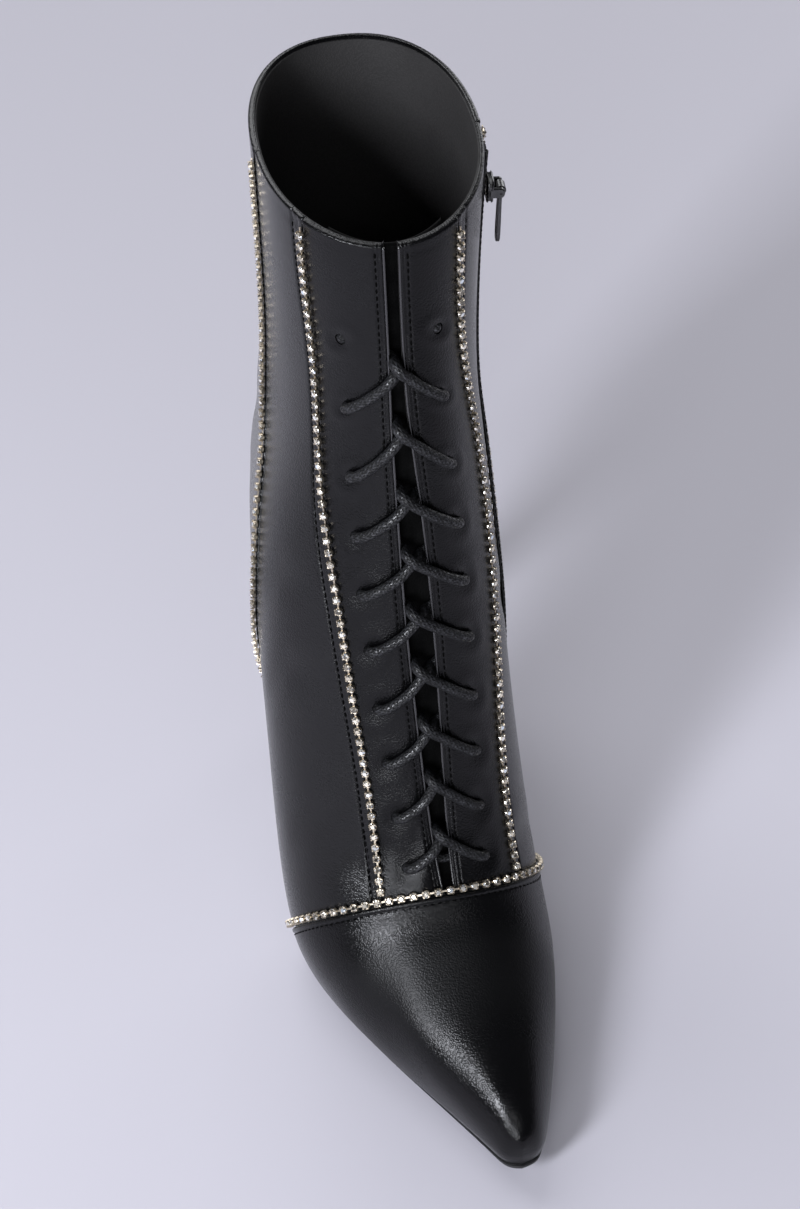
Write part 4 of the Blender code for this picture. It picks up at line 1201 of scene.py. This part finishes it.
stoneSet = dict(
    pitch=3.8, base=0.58, size=1.04, seed=4, lean=22.0, samples=400, look=0.6,
    toeEnd=2.4, frontEnd=0.06, backStart=0.25, backEnd=0.12, frontMargin=3.4, margin=1.6,
    # rings of the cup and of the stone, as (radius, height, count, turn, squareness)
    cup=((1.1, 0.0, 8, 0.5, 0.04), (1.3, 0.98, 8, 0.5, 0.06), (1.06, 0.82, 8, 0.5, 0.04)),
    stone=((0.56, 1.56, 8), (0.86, 1.36, 8, 0.5), (1.12, 1.0, 16)),
    # rows of a claw, as (reach, height, half-width, half-thickness), and the corners of a row
    claw=((1.34, 0.5, 0.3, 0.14), (1.13, 1.46, 0.25, 0.13), (0.88, 1.52, 0.13, 0.07)),
    clawCorners=((-1, 1, 0.4), (1, 1, 0.4), (1, -1, -0.4), (-1, -1, -0.4)),
    linkAt=(1.9, 0, 0.42), linkSize=(1.5, 0.5, 0.34, 1),
)


def buildCup(mesh):
    # a pressed square cup with four claws, and the link that joins it to the next
    foot, lip, well = (ringOf(mesh, *ring) for ring in stoneSet["cup"])
    band(mesh, foot, lip)
    band(mesh, lip, well)
    mesh.faces.new(foot)
    mesh.faces.new(well)
    for quarter in range(4):
        angle = math.pi / 4 + quarter * math.pi / 2
        out = Vector((math.cos(angle), math.sin(angle), 0))
        side = Vector((-out.y, out.x, 0))
        rows = []
        for reach, height, wide, thick in stoneSet["claw"]:
            centre = out * reach + Vector((0, 0, height))
            corners = [centre + side * (wide * a) + out * (thick * b) + Vector((0, 0, thick * c))
                       for a, b, c in stoneSet["clawCorners"]]
            rows.append([mesh.verts.new(corner) for corner in corners])
        closeRows(mesh, rows)
    place = Matrix.Translation(stoneSet["linkAt"]) @ Matrix.Diagonal(stoneSet["linkSize"])
    bmesh.ops.create_cube(mesh, size=1.0, matrix=place)


def buildStone(mesh):
    # a round cut stone: table, star and main facets down to the girdle
    table, star, girdle = (ringOf(mesh, *ring) for ring in stoneSet["stone"])
    mesh.faces.new(table)
    for i in range(8):
        k = (i + 1) % 8
        mesh.faces.new((table[i], star[i], table[k]))
        mesh.faces.new((star[i - 1], girdle[2 * i], star[i], table[i]))
        mesh.faces.new((star[i], girdle[2 * i], girdle[2 * i + 1]))
        mesh.faces.new((star[i], girdle[2 * i + 1], girdle[(2 * i + 2) % 16]))
    mesh.faces.new(girdle)


stoneTree = repeatTree("stones along a line", ("Cup", "Stone"), spark=True)
cupSeed, stoneSeed = seed("cup_seed", buildCup), seed("stone_seed", buildStone)


def alongLine(stations, arcs, pitch, lift, margin=0.0, centred=True):
    # points at an even pitch along a line on the upper, with their normals and directions
    stations, arcs = np.asarray(stations, float), np.asarray(arcs, float)
    line = onUpper(stations, arcs)
    run = runOf(line)
    count = int((run[-1] - 2 * margin) / pitch) + 1
    first = 0.5 * (run[-1] - (count - 1) * pitch) if centred else margin
    at = first + np.arange(count) * pitch
    point, normal, _ = frameOn(np.interp(at, run, stations), np.interp(at, run, arcs))
    high, low = at + stoneSet["look"], at - stoneSet["look"]
    ahead = np.column_stack([np.interp(high, run, axis) - np.interp(low, run, axis) for axis in line.T])
    ahead = unit(ahead - normal * (ahead * normal).sum(1)[:, None])
    return point + normal * lift, normal, ahead


def gather(groups):
    return (np.vstack(arrays) for arrays in zip(*groups))


def acrossToe(station, inset, shares):
    # from one end of a section to the other
    low, high = (side * (sectionLength(station, side) - inset) for side in sideName)
    return low + (high - low) * shares


def makeChains():
    fine = np.linspace(0, 1, stoneSet["samples"])
    front = last["seam"] + (last["collar"] - stoneSet["frontEnd"] - last["seam"]) * fine
    first = last["backFirst"] + stoneSet["backStart"]
    back = first + (last["collar"] - stoneSet["backEnd"] - first) * fine
    seam = np.full(len(fine), last["seam"])
    lines = {"toe_seam": (seam, acrossToe(last["seam"], stoneSet["toeEnd"], fine))}
    for side, word in sideName.items():
        lines["front_" + word] = (front, chainEdge(front, side))
        lines["back_" + word] = (back, backEdge(back, side))
    total = 0
    for number, (name, (stations, arcs)) in enumerate(lines.items()):
        fromSeam = name.startswith("front")
        points, normals, ahead = alongLine(stations, arcs, stoneSet["pitch"], stoneSet["base"],
                                           stoneSet["frontMargin" if fromSeam else "margin"], not fromSeam)
        lean = math.radians(stoneSet["lean"]) if name == "front_medial" else 0.0
        normals = normals * math.cos(lean) + np.cross(normals, ahead) * math.sin(lean)
        values = {"Cup": cupSeed, "Cup finish": finishes["cup"], "Size": stoneSet["size"],
                  "Stone": stoneSeed, "Stone finish": finishes["stone"], "Seed": stoneSet["seed"] + number}
        repeat("stones_" + name, stoneTree, points, normals, ahead, values, "stone_chain", ("chain_" + name,))
        total += len(points)
    print("stones set:", total)


makeChains()


stitchSet = dict(
    pitch=2.3, length=1.7, thick=0.36, sunk=0.06, proud=0.1, sides=6, samples=300,
    shares=(-1, -0.86, -0.45, 0, 0.45, 0.86, 1), arch=0.16, dip=0.1, slim=0.75, tip=0.12,
    shaftStart=0.15, backStart=0.6, collarEnd=0.3, chainLift=-0.3, toeSection=8.0, toeEnd=5.0, seamMm=14.2,
)


def buildStitch(mesh):
    # one stitch: a short rounded thread that dips at both ends
    rows = []
    for share in stitchSet["shares"]:
        height = stitchSet["arch"] * (1 - share**2) - stitchSet["dip"]
        centre = Vector((share * stitchSet["length"] / 2, 0, height))
        radius = stitchSet["thick"] * math.sqrt(max(1 - share**4, stitchSet["tip"])) * stitchSet["slim"]
        rows.append([mesh.verts.new(centre + Vector((0, radius * math.cos(t), radius * math.sin(t))))
                     for t in np.linspace(0, 2 * math.pi, stitchSet["sides"], endpoint=False)])
    closeRows(mesh, rows)


stitchTree = repeatTree("stitches along a line", ("Stitch",))
stitchSeed = seed("stitch_seed", buildStitch, False)


def stitchValues(size):
    return {"Stitch": stitchSeed, "Stitch finish": finishes["thread"], "Size": size, "Seed": 1}


def makeStitches():
    fine = np.linspace(0, 1, stitchSet["samples"])
    top = last["collar"] - stitchSet["collarEnd"]
    firsts = panel["shaftStart"] + stitchSet["shaftStart"], last["backFirst"] + stitchSet["backStart"]
    shaft, back = (first + (top - first) * fine for first in firsts)
    sewn = panel["step"] - panel["grooveDepth"]
    lines = []
    for side in sideName:
        lines.append((shaft, gapEdge(shaft, side) + side * panel["stitchInset"], sewn))
        lines.append((shaft, chainEdge(shaft, side) + side * chainStitch(shaft), stitchSet["chainLift"]))
        lines.append((back, backEdge(back, side) + side * panel["backStitch"], sewn))
    fold = panel["vampEnd"] - (panel["foldStrip"] + panel["foldStitch"]) / stitchSet["seamMm"]
    seam = acrossToe(stitchSet["toeSection"], stitchSet["toeEnd"], fine)
    lines.append((np.full(len(fine), fold), seam, sewn))
    points, normals, ahead = gather(
        alongLine(stations, arcs, stitchSet["pitch"], lift - stitchSet["sunk"] + stitchSet["proud"])
        for stations, arcs, lift in lines)
    repeat("seam_stitches", stitchTree, points, normals, ahead, stitchValues(1.0), "black_leather")
    print("stitches sewn:", len(points))


makeStitches()


# soles
soleSet = dict(
    lip=0.8, thick=3.4, waistThick=2.2, waist=(8, 11), breast=15.39, gap=0.08, sharp=45,
    toe=(0, 0.05, 0.12, 0.22, 0.36, 0.55, 0.8), step=0.125, end=15.25,
    # the section of the outsole's edge, as (outward share of the lip, share of the thickness)
    edge=((-2.0, 0.0), (0.0, 0.0), (0.55, 0.03), (0.7, 0.12), (0.45, 0.3), (-0.3, 0.55), (-1.2, 0.8),
          (-1.9, 0.95), (-3.2, 1.0)),
)
insoleSet = dict(
    thick=2.0, rise=0.3, wall=1.8, clear=0.15,
    toe=(0.45, 0.6, 0.8), step=0.2, end=17.5, seat=(17.55, 17.7, 17.8, 17.87),
    # its edge, as (inset, share of the thickness)
    edge=((0.5, 0.0), (0.0, 0.3), (0.0, 0.7), (0.6, 0.95), (1.8, 1.0)),
)


def onLast(station, side):
    station = np.asarray(station, float)
    points = sections[side][0][:, -1]
    return np.column_stack([np.interp(station, stationList, points[:, i]) for i in range(3)])


def fallAlong(station, side, step):
    low, high = np.maximum(station - step, 0), np.minimum(station + step, last["closed"])
    return onLast(high, side) - onLast(low, side)


def soleNormal(station):
    fall = fallAlong(station, 1, 0.05)
    return unit(np.column_stack([fall[:, 2], np.zeros(len(fall)), -fall[:, 0]]))


def feather(station, side, out):
    # the feather line moved outwards in plan and kept on the slope of the sole
    along = fallAlong(station, side, 0.02) * (1, 1, 0)
    move = unit(np.cross(along, (0, 0, side))) * out
    slope = soleNormal(station)
    move[:, 2] = -move[:, 0] * slope[:, 0] / slope[:, 2]
    return onLast(station, side) + move


def loft(name, bodies, material, **dressing):
    # closed lofts through rings of points, with flat ends
    points, faces = [], []
    for rings in bodies:
        faces += ringFaces(*rings.shape[:2], sum(len(p) for p in points))
        points.append(rings.reshape(-1, 3))
    return outward(addPiece(name, np.vstack(points), faces, material, **dressing))


def makeOutsole():
    # the section of the edge is run round the outline
    middle = np.arange(1, soleSet["end"], soleSet["step"])
    half = np.concatenate([soleSet["toe"], middle, [soleSet["breast"]]])
    stations = np.concatenate([half[::-1], half[1:]])
    count, total = len(half), len(stations)
    outline = np.vstack([onLast(half[::-1], -1), onLast(half[1:], 1)])
    along = unit(np.gradient(outline, axis=0) * (1, 1, 0))
    away = np.column_stack([along[:, 1], -along[:, 0], np.zeros(total)]) * -1
    away *= np.sign(away[count - 1, 0] or 1)
    drop = soleNormal(stations)
    drop[count - 1] = drop[count]
    away[:, 2] = -away[:, 0] * drop[:, 0] / drop[:, 2]
    waist = smooth(stations, *soleSet["waist"])
    thick = soleSet["thick"] + (soleSet["waistThick"] - soleSet["thick"]) * waist
    levels = []
    for out, deep in soleSet["edge"]:
        point = outline + away * soleSet["lip"] * out - drop * (soleSet["gap"] + thick * deep)[:, None]
        point[:, 2] = np.maximum(point[:, 2], 0)
        levels.append(point)
    faces = [tuple(face) for face in gridFaces(len(levels), total)]
    for first, turn in ((0, 1), ((len(levels) - 1) * total, -1)):
        for i in range(count - 1):
            faces.append(tuple(first + k for k in (i, i + 1, total - 2 - i, total - 1 - i))[::turn])
    ends = [row * total for row in range(len(levels))]
    faces.append(tuple(ends + [row + total - 1 for row in reversed(ends)]))
    piece = outward(addPiece("outsole_leather", np.vstack(levels), faces, finishes["sole"],
                             slot="sole_edge", replaces=("outsole",)))
    return sharpen(piece, soleSet["sharp"])


def makeInsole():
    middle = np.arange(1, insoleSet["end"], insoleSet["step"])
    stations = np.concatenate([insoleSet["toe"], middle, insoleSet["seat"]])
    up = soleNormal(stations)
    profile = [(-1, *row) for row in insoleSet["edge"]] + [(1, *row) for row in reversed(insoleSet["edge"])]
    rings = []
    for side, inset, high in profile:
        edge = feather(stations, side, -insoleSet["wall"] - insoleSet["clear"] - inset)
        rings.append(edge + up * (insoleSet["rise"] + insoleSet["thick"] * high))
    return loft("insole_sock", [np.stack(rings, axis=1)], finishes["lining"],
                slot="insole_lining", replaces=("insole",))


# heel, one row for each level below the seat
heelColumns = "level breast back half"
heelRows = ((6.3, 38.6, 28.4, 5.0), (30.0, 38.8, 27.0, 5.6), (50.0, 39.8, 25.4, 6.8), (65.0, 42.0, 23.6, 8.8),
            (77.0, 44.6, 21.5, 12.2), (86.0, 47.6, 19.3, 16.8), (93.0, 50.2, 17.2, 21.2))
heelSet = dict(
    lip=0.3, gap=0.12, seat=(15.45, 15.8, 16.2, 16.6, 17.0, 17.35, 17.65, 17.88, 18.0), points=48, sharp=40,
    foot=(6.3, 6.6), rise=(8, 93, 44), bevel=0.15, breastPoints=7, hollow=0.6, topPoints=41,
    seatRise=(0.25, 0.5, 0.75, 1.0),
    # the top piece, as (level, growth past the heel's foot)
    topPiece=((0.0, 0.05), (0.35, 0.3), (2.2, 0.3), (2.4, 0.22), (2.6, 0.3), (5.7, 0.3), (6.0, 0.1)),
)


def heelRing(level, breast, back, half, count):
    turns = np.linspace(-math.pi / 2, math.pi / 2, count)
    x = breast - (breast - back) * np.cos(turns)
    ring = np.column_stack([x, half * np.sin(turns), np.full(count, level)])
    points = heelSet["breastPoints"]
    mid = np.linspace(half, -half, points + 2)[1:-1]
    hollow = heelSet["hollow"] * (1 - (mid / half) ** 2)
    face = np.column_stack([np.full(points, breast) - hollow, mid, np.full(points, level)])
    return np.vstack([ring, face])


def makeHeel():
    count = heelSet["points"] + 1
    table = TableCurve(heelColumns, heelRows)
    rings = []
    for level in np.concatenate([heelSet["foot"], np.linspace(*heelSet["rise"])]):
        row = table.read(level)
        shrink = heelSet["bevel"] if level == heelSet["foot"][0] else 0.0
        breast, back, half = row["breast"] - shrink, row["back"] + shrink, row["half"] - shrink
        rings.append(heelRing(level, breast, back, half, count))
    places = len(heelSet["seat"])
    halfSeat = np.interp(np.linspace(0, places - 1, count // 2 + 1), np.arange(places), heelSet["seat"])
    seat = np.vstack([feather(halfSeat, -1, heelSet["lip"]), feather(halfSeat[:-1][::-1], 1, heelSet["lip"])])
    seat[:, 2] -= heelSet["gap"]
    top = np.vstack([seat, np.linspace(seat[-1], seat[0], heelSet["breastPoints"] + 2)[1:-1]])
    final = rings[-1]
    rings += [final + (top - final) * share for share in heelSet["seatRise"]]
    heel = loft("heel_covered", [np.array(rings)], finishes["heel"], slot="heel_cover", replaces=("heel",))
    _, breast, back, half = heelRows[0]
    lifts = [heelRing(level, breast + grow, back - grow, half + grow, heelSet["topPoints"])
             for level, grow in heelSet["topPiece"]]
    rubber = loft("heel_top_rubber", [np.array(lifts)], finishes["topPiece"],
                  slot="top_piece_rubber", replaces=("heel_top_piece",))
    for piece in (heel, rubber):
        sharpen(piece, heelSet["sharp"])


makeOutsole()
makeInsole()
makeHeel()
print("soles and heel made")


# zip on the inside of the foot
zipSet = dict(
    ahead=9.0, low=0.42, first=12.9, final=23.85, rows=150,
    coilPitch=1.35, coilLift=0.85, coilEnd=1.0, coilSides=6,
    across=(-3.3, -3.1, -2.6, -1.9, -1.2, -0.75, -0.45, 0.45, 0.75, 1.2, 1.9, 2.6, 3.1, 3.3),
    # the tapes' height by distance from the middle
    rise=((0.45, 0.75, 1.2, 2.6, 3.1, 3.3), (0.55, 0.8, 0.95, 0.9, 0.7, 0.5)),
    stitchOut=2.5, stitchLift=0.92, stitchSize=0.9, stitchEnd=2,
    # one wire of the coil, as places along, across and up, and each side's shift along
    wire=((-0.34, 1.35, -0.1), (-0.2, 0.8, 0.3), (0.0, 0.0, 0.42), (0.0, -0.45, 0.2), (0.0, -0.5, -0.1)),
    wireHalf=(0.3, 0.24), shift={-1: 0.0, 1: 0.67},
)


def zipArc(station):
    return backEdge(station, 1) - zipSet["ahead"]


def buildCoil(mesh):
    # one bent wire of the coil from each side, meshed at the middle
    wide, high = zipSet["wireHalf"]
    for side, shift in zipSet["shift"].items():
        rows = []
        for x, y, z in zipSet["wire"]:
            centre = Vector((shift + x, side * y, z))
            rows.append([mesh.verts.new(centre + Vector((wide * math.cos(t), 0, high * math.sin(t))))
                         for t in np.linspace(0, 2 * math.pi, zipSet["coilSides"], endpoint=False)])
        closeRows(mesh, rows)


def makeZip():
    rows = np.linspace(zipSet["first"], zipSet["final"], zipSet["rows"])
    middle = zipArc(rows)
    across = np.array(zipSet["across"])
    base = surface(rows, middle[:, None] + across)[1]
    shape = base.shape[:2]
    rise = np.interp(np.abs(across), *zipSet["rise"])
    shell("zip_tapes", [(base, np.broadcast_to(rise, shape), np.full(shape, zipSet["low"]))],
          finishes["zipTape"], "zip_tape", ("zip_tape",))
    coil = seed("coil_seed", buildCoil, False)
    tree = repeatTree("coil along a zip", ("Coil",))
    line = alongLine(rows, middle, zipSet["coilPitch"], zipSet["coilLift"], zipSet["coilEnd"])
    values = {"Coil": coil, "Coil finish": finishes["coil"], "Size": 1.0, "Seed": 1}
    repeat("zip_coil", tree, *line, values, "zip_tape")
    bpy.data.objects.remove(coil)
    inner = slice(zipSet["stitchEnd"], -zipSet["stitchEnd"])
    seams = gather(alongLine(rows[inner], (middle + offset)[inner], stitchSet["pitch"], zipSet["stitchLift"])
                   for offset in (-zipSet["stitchOut"], zipSet["stitchOut"]))
    repeat("zip_stitches", stitchTree, *seams, stitchValues(zipSet["stitchSize"]), "zip_tape")


# the slider in its own axes: x across the zip, y up it, z away from the upper
sliderSet = dict(
    station=23.2, seat=1.7, pinHeight=4.0, thick=2.0, pin=0.6, sharp=35,
    earIn=2.3, earOut=3.5, earHalf=1.6, earTop=1.1,
    outline=((4.0, 2.2), (3.7, 3.1), (3.0, 3.55), (1.6, 3.7), (0.2, 3.4), (-1.2, 2.8), (-2.6, 2.45),
             (-3.5, 2.3), (-4.0, 1.7)),
    # (height, inset) of its two plates, up to the top one's edge
    plates=((0, 0.4), (0.25, 0.05), (0.5, 0), (0.62, 0.3), (1.3, 0.3), (1.42, 0)),
)
pullSet = dict(
    barrel=1.6, eye=0.95, half=1.9, thick=1.2,
    outline=((-1.2, 1.5), (-2.6, 1.35), (-4.2, 1.3), (-6.5, 1.5), (-10.0, 1.75), (-14.0, 1.9), (-16.2, 1.8),
             (-17.3, 1.4), (-17.85, 0.8), (-18.0, 0.35)),
)


def mirrored(outline, inset):
    # a plan outline mirrored about its length, drawn in by an inset
    half = np.array(outline, float)
    middle = half[:, 0].mean()
    reach = np.abs(half[:, 0] - middle).max()
    y = middle + (half[:, 0] - middle) * (1 - inset / reach)
    x = np.maximum(half[:, 1] - inset, 0.06)
    return np.column_stack([np.concatenate([x, -x[::-1]]), np.concatenate([y, y[::-1]])])


def plates(outline, levels):
    # rings of an outline at levels of (height, inset)
    count = 2 * len(outline)
    return np.array([np.column_stack([mirrored(outline, inset), np.full(count, z)]) for z, inset in levels])


def turned(profile, count):
    # rings round the x axis from (x, radius)
    c, s = circle(count)
    return np.array([np.column_stack([np.full(count, x), r * c, r * s]) for x, r in profile])


def makeSlider():
    point, normal, along = frameOn(sliderSet["station"], zipArc(sliderSet["station"]))
    across = unit(np.cross(along, normal))
    axes = np.array((across, np.cross(normal, across), normal))
    seat = point + normal * sliderSet["seat"]
    pin = np.array((0, 0, sliderSet["pinHeight"]))
    thick, earIn, earOut = sliderSet["thick"], sliderSet["earIn"], sliderSet["earOut"]
    levels = (*sliderSet["plates"], (thick - 0.3, 0.05), (thick - 0.08, 0.25), (thick, 0.6))
    bodies = [plates(sliderSet["outline"], levels)]
    arc = np.linspace(0, math.pi, 13)
    for side in (-1, 1):
        ear = []
        for place, inset in ((earIn, 0.15), (earIn + 0.15, 0), (earOut - 0.3, 0), (earOut, 0.3)):
            y = (sliderSet["earHalf"] - inset) * np.cos(arc)
            z = pin[2] + (sliderSet["earTop"] - inset) * np.sin(arc)
            y = np.concatenate([y, y[-1:], y[:1]])
            z = np.concatenate([z, [0.5 * thick] * 2])
            ear.append(np.column_stack([np.full(len(y), side * place), y, z]))
        bodies.append(np.array(ear))
    radius = sliderSet["pin"]
    rod = ((-earOut, radius - 0.2), (0.15 - earOut, radius), (earOut - 0.15, radius), (earOut, radius - 0.2))
    bodies.append(turned(rod, 16) + pin)
    slider = loft("zip_slider_body", [seat + body @ axes for body in bodies], finishes["zipMetal"],
                  slot="zip_metal", replaces=("zip_slider",))
    half, barrel, eye = pullSet["half"], pullSet["barrel"], pullSet["eye"]
    collar = ((0.2 - half, eye), (-half, eye + 0.15), (-half, barrel - 0.2), (0.2 - half, barrel))
    ring = turned((*collar, *((-x, r) for x, r in reversed(collar))), 24)
    top = pullSet["thick"] / 2
    steps = ((top - 0.3, 0.8), (top, 0.6), (top, 0.22), (top - 0.2, 0.0))
    tab = plates(pullSet["outline"], [(-z, inset) for z, inset in steps] + list(reversed(steps)))
    pull = loft("zip_pull_tab", [seat + (body + pin) @ axes for body in (ring, tab)], finishes["zipMetal"],
                body="pull", slot="zip_metal", replaces=("zip_pull",))
    for piece in (slider, pull):
        sharpen(piece, sliderSet["sharp"])


makeZip()
makeSlider()
for helper in (cupSeed, stoneSeed, stitchSeed):
    bpy.data.objects.remove(helper)
print("zip made")


# floor, light and camera
stageSet = dict(floor=24.0, floorTone=(0.464, 0.452, 0.497, 1), rough=0.75, shine=0.2,
                world=(0.80, 0.82, 0.90, 1), worldPower=0.1, target=(0, 0, 0.09))
lampColumns = ("name", "toward", "distance", "size", "power", "colour")
lampRows = (
    ("key softbox", (0.48, -0.68, 0.56), 1.5, (0.25, 0.58), 24.0, (0.91, 0.93, 1.0)),
    ("overhead", (0.62, 0.02, 0.72), 1.5, (0.8, 0.3), 1.9, (0.95, 0.96, 1.0)),
    ("inside softbox", (-0.70, 0.66, 0.28), 1.8, (0.9, 0.9), 9.0, (0.96, 0.97, 1.0)),
    ("low front strip", (0.90, -0.34, 0.34), 1.5, (0.6, 0.6), 10.5, (0.92, 0.94, 1.0)),
)
skySet = dict(toward=(-0.70, -0.20, 0.68), power=2.3, spread=50.0, colour=(0.96, 0.97, 1.0))
cameraSet = dict(aim=(136.5, 0.0, 94.5), tilt=54.2, swing=15.43, roll=3.21, away=840.0, slide=(-22.12, 9.35),
                 centre=(108.0, -1.7, 128.0), lens=81.5, sensor=36.0, near=0.01)


def makeFloor():
    half = stageSet["floor"] / 2
    mesh = bpy.data.meshes.new("floor")
    corners = [(-half, -half, 0), (half, -half, 0), (half, half, 0), (-half, half, 0)]
    mesh.from_pydata(corners, [], [(0, 1, 2, 3)])
    paper = {"Base Color": stageSet["floorTone"], "Roughness": stageSet["rough"]}
    mesh.materials.append(finish("floor paper", {**paper, "Specular IOR Level": stageSet["shine"]}))
    floor = linked("floor", mesh)
    world = bpy.data.worlds.new("studio")
    world.use_nodes = True
    shade = world.node_tree.nodes.get("Background") or world.node_tree.nodes.new("ShaderNodeBackground")
    shade.inputs["Color"].default_value = stageSet["world"]
    shade.inputs["Strength"].default_value = stageSet["worldPower"]
    bpy.context.scene.world = world


def aimed(name, light, toward):
    # a light that shines from a direction
    made = linked(name, light)
    made.rotation_euler = (-toward).to_track_quat("-Z", "Y").to_euler()
    return made


def makeLamps():
    for row in lampRows:
        lamp = dict(zip(lampColumns, row))
        light = bpy.data.lights.new(lamp["name"], "AREA")
        light.shape, light.energy, light.color = "RECTANGLE", lamp["power"], lamp["colour"]
        light.size, light.size_y = lamp["size"]
        toward = Vector(lamp["toward"]).normalized()
        aimed(lamp["name"], light, toward).location = Vector(stageSet["target"]) + toward * lamp["distance"]
    # an even sheet of light from behind, for the floor
    sky = bpy.data.lights.new("sky sheet", "SUN")
    sky.energy, sky.angle, sky.color = skySet["power"], math.radians(skySet["spread"]), skySet["colour"]
    aimed("sky sheet", sky, Vector(skySet["toward"]))


def makeCamera():
    # at the photograph's place and angle, turned to take in the whole boot
    tilt, swing, turn = (math.radians(cameraSet[k]) for k in ("tilt", "swing", "roll"))
    look = np.array((-math.cos(swing) * math.cos(tilt), math.sin(swing) * math.cos(tilt), -math.sin(tilt)))
    right = np.array((math.sin(swing), math.cos(swing), 0))
    up = np.cross(right, look)
    right, up = right * math.cos(turn) + up * math.sin(turn), up * math.cos(turn) - right * math.sin(turn)
    slide = cameraSet["slide"]
    place = np.array(cameraSet["aim"]) - right * slide[0] - up * slide[1] - look * cameraSet["away"]
    look = unit(np.array(cameraSet["centre"]) - place)
    right = unit(np.cross(look, up))
    up = np.cross(right, look)
    data = bpy.data.cameras.new("camera")
    data.lens, data.sensor_width, data.clip_start = cameraSet["lens"], cameraSet["sensor"], cameraSet["near"]
    camera = linked("camera", data)
    columns = np.column_stack([right, up, -look, toWorld(place[None])[0]])
    camera.matrix_world = Matrix((*columns.tolist(), (0, 0, 0, 1)))
    bpy.context.scene.camera = camera


makeFloor()
makeLamps()
makeCamera()
bpy.context.scene.view_settings.view_transform = "Standard"
print("stage, light and camera set")
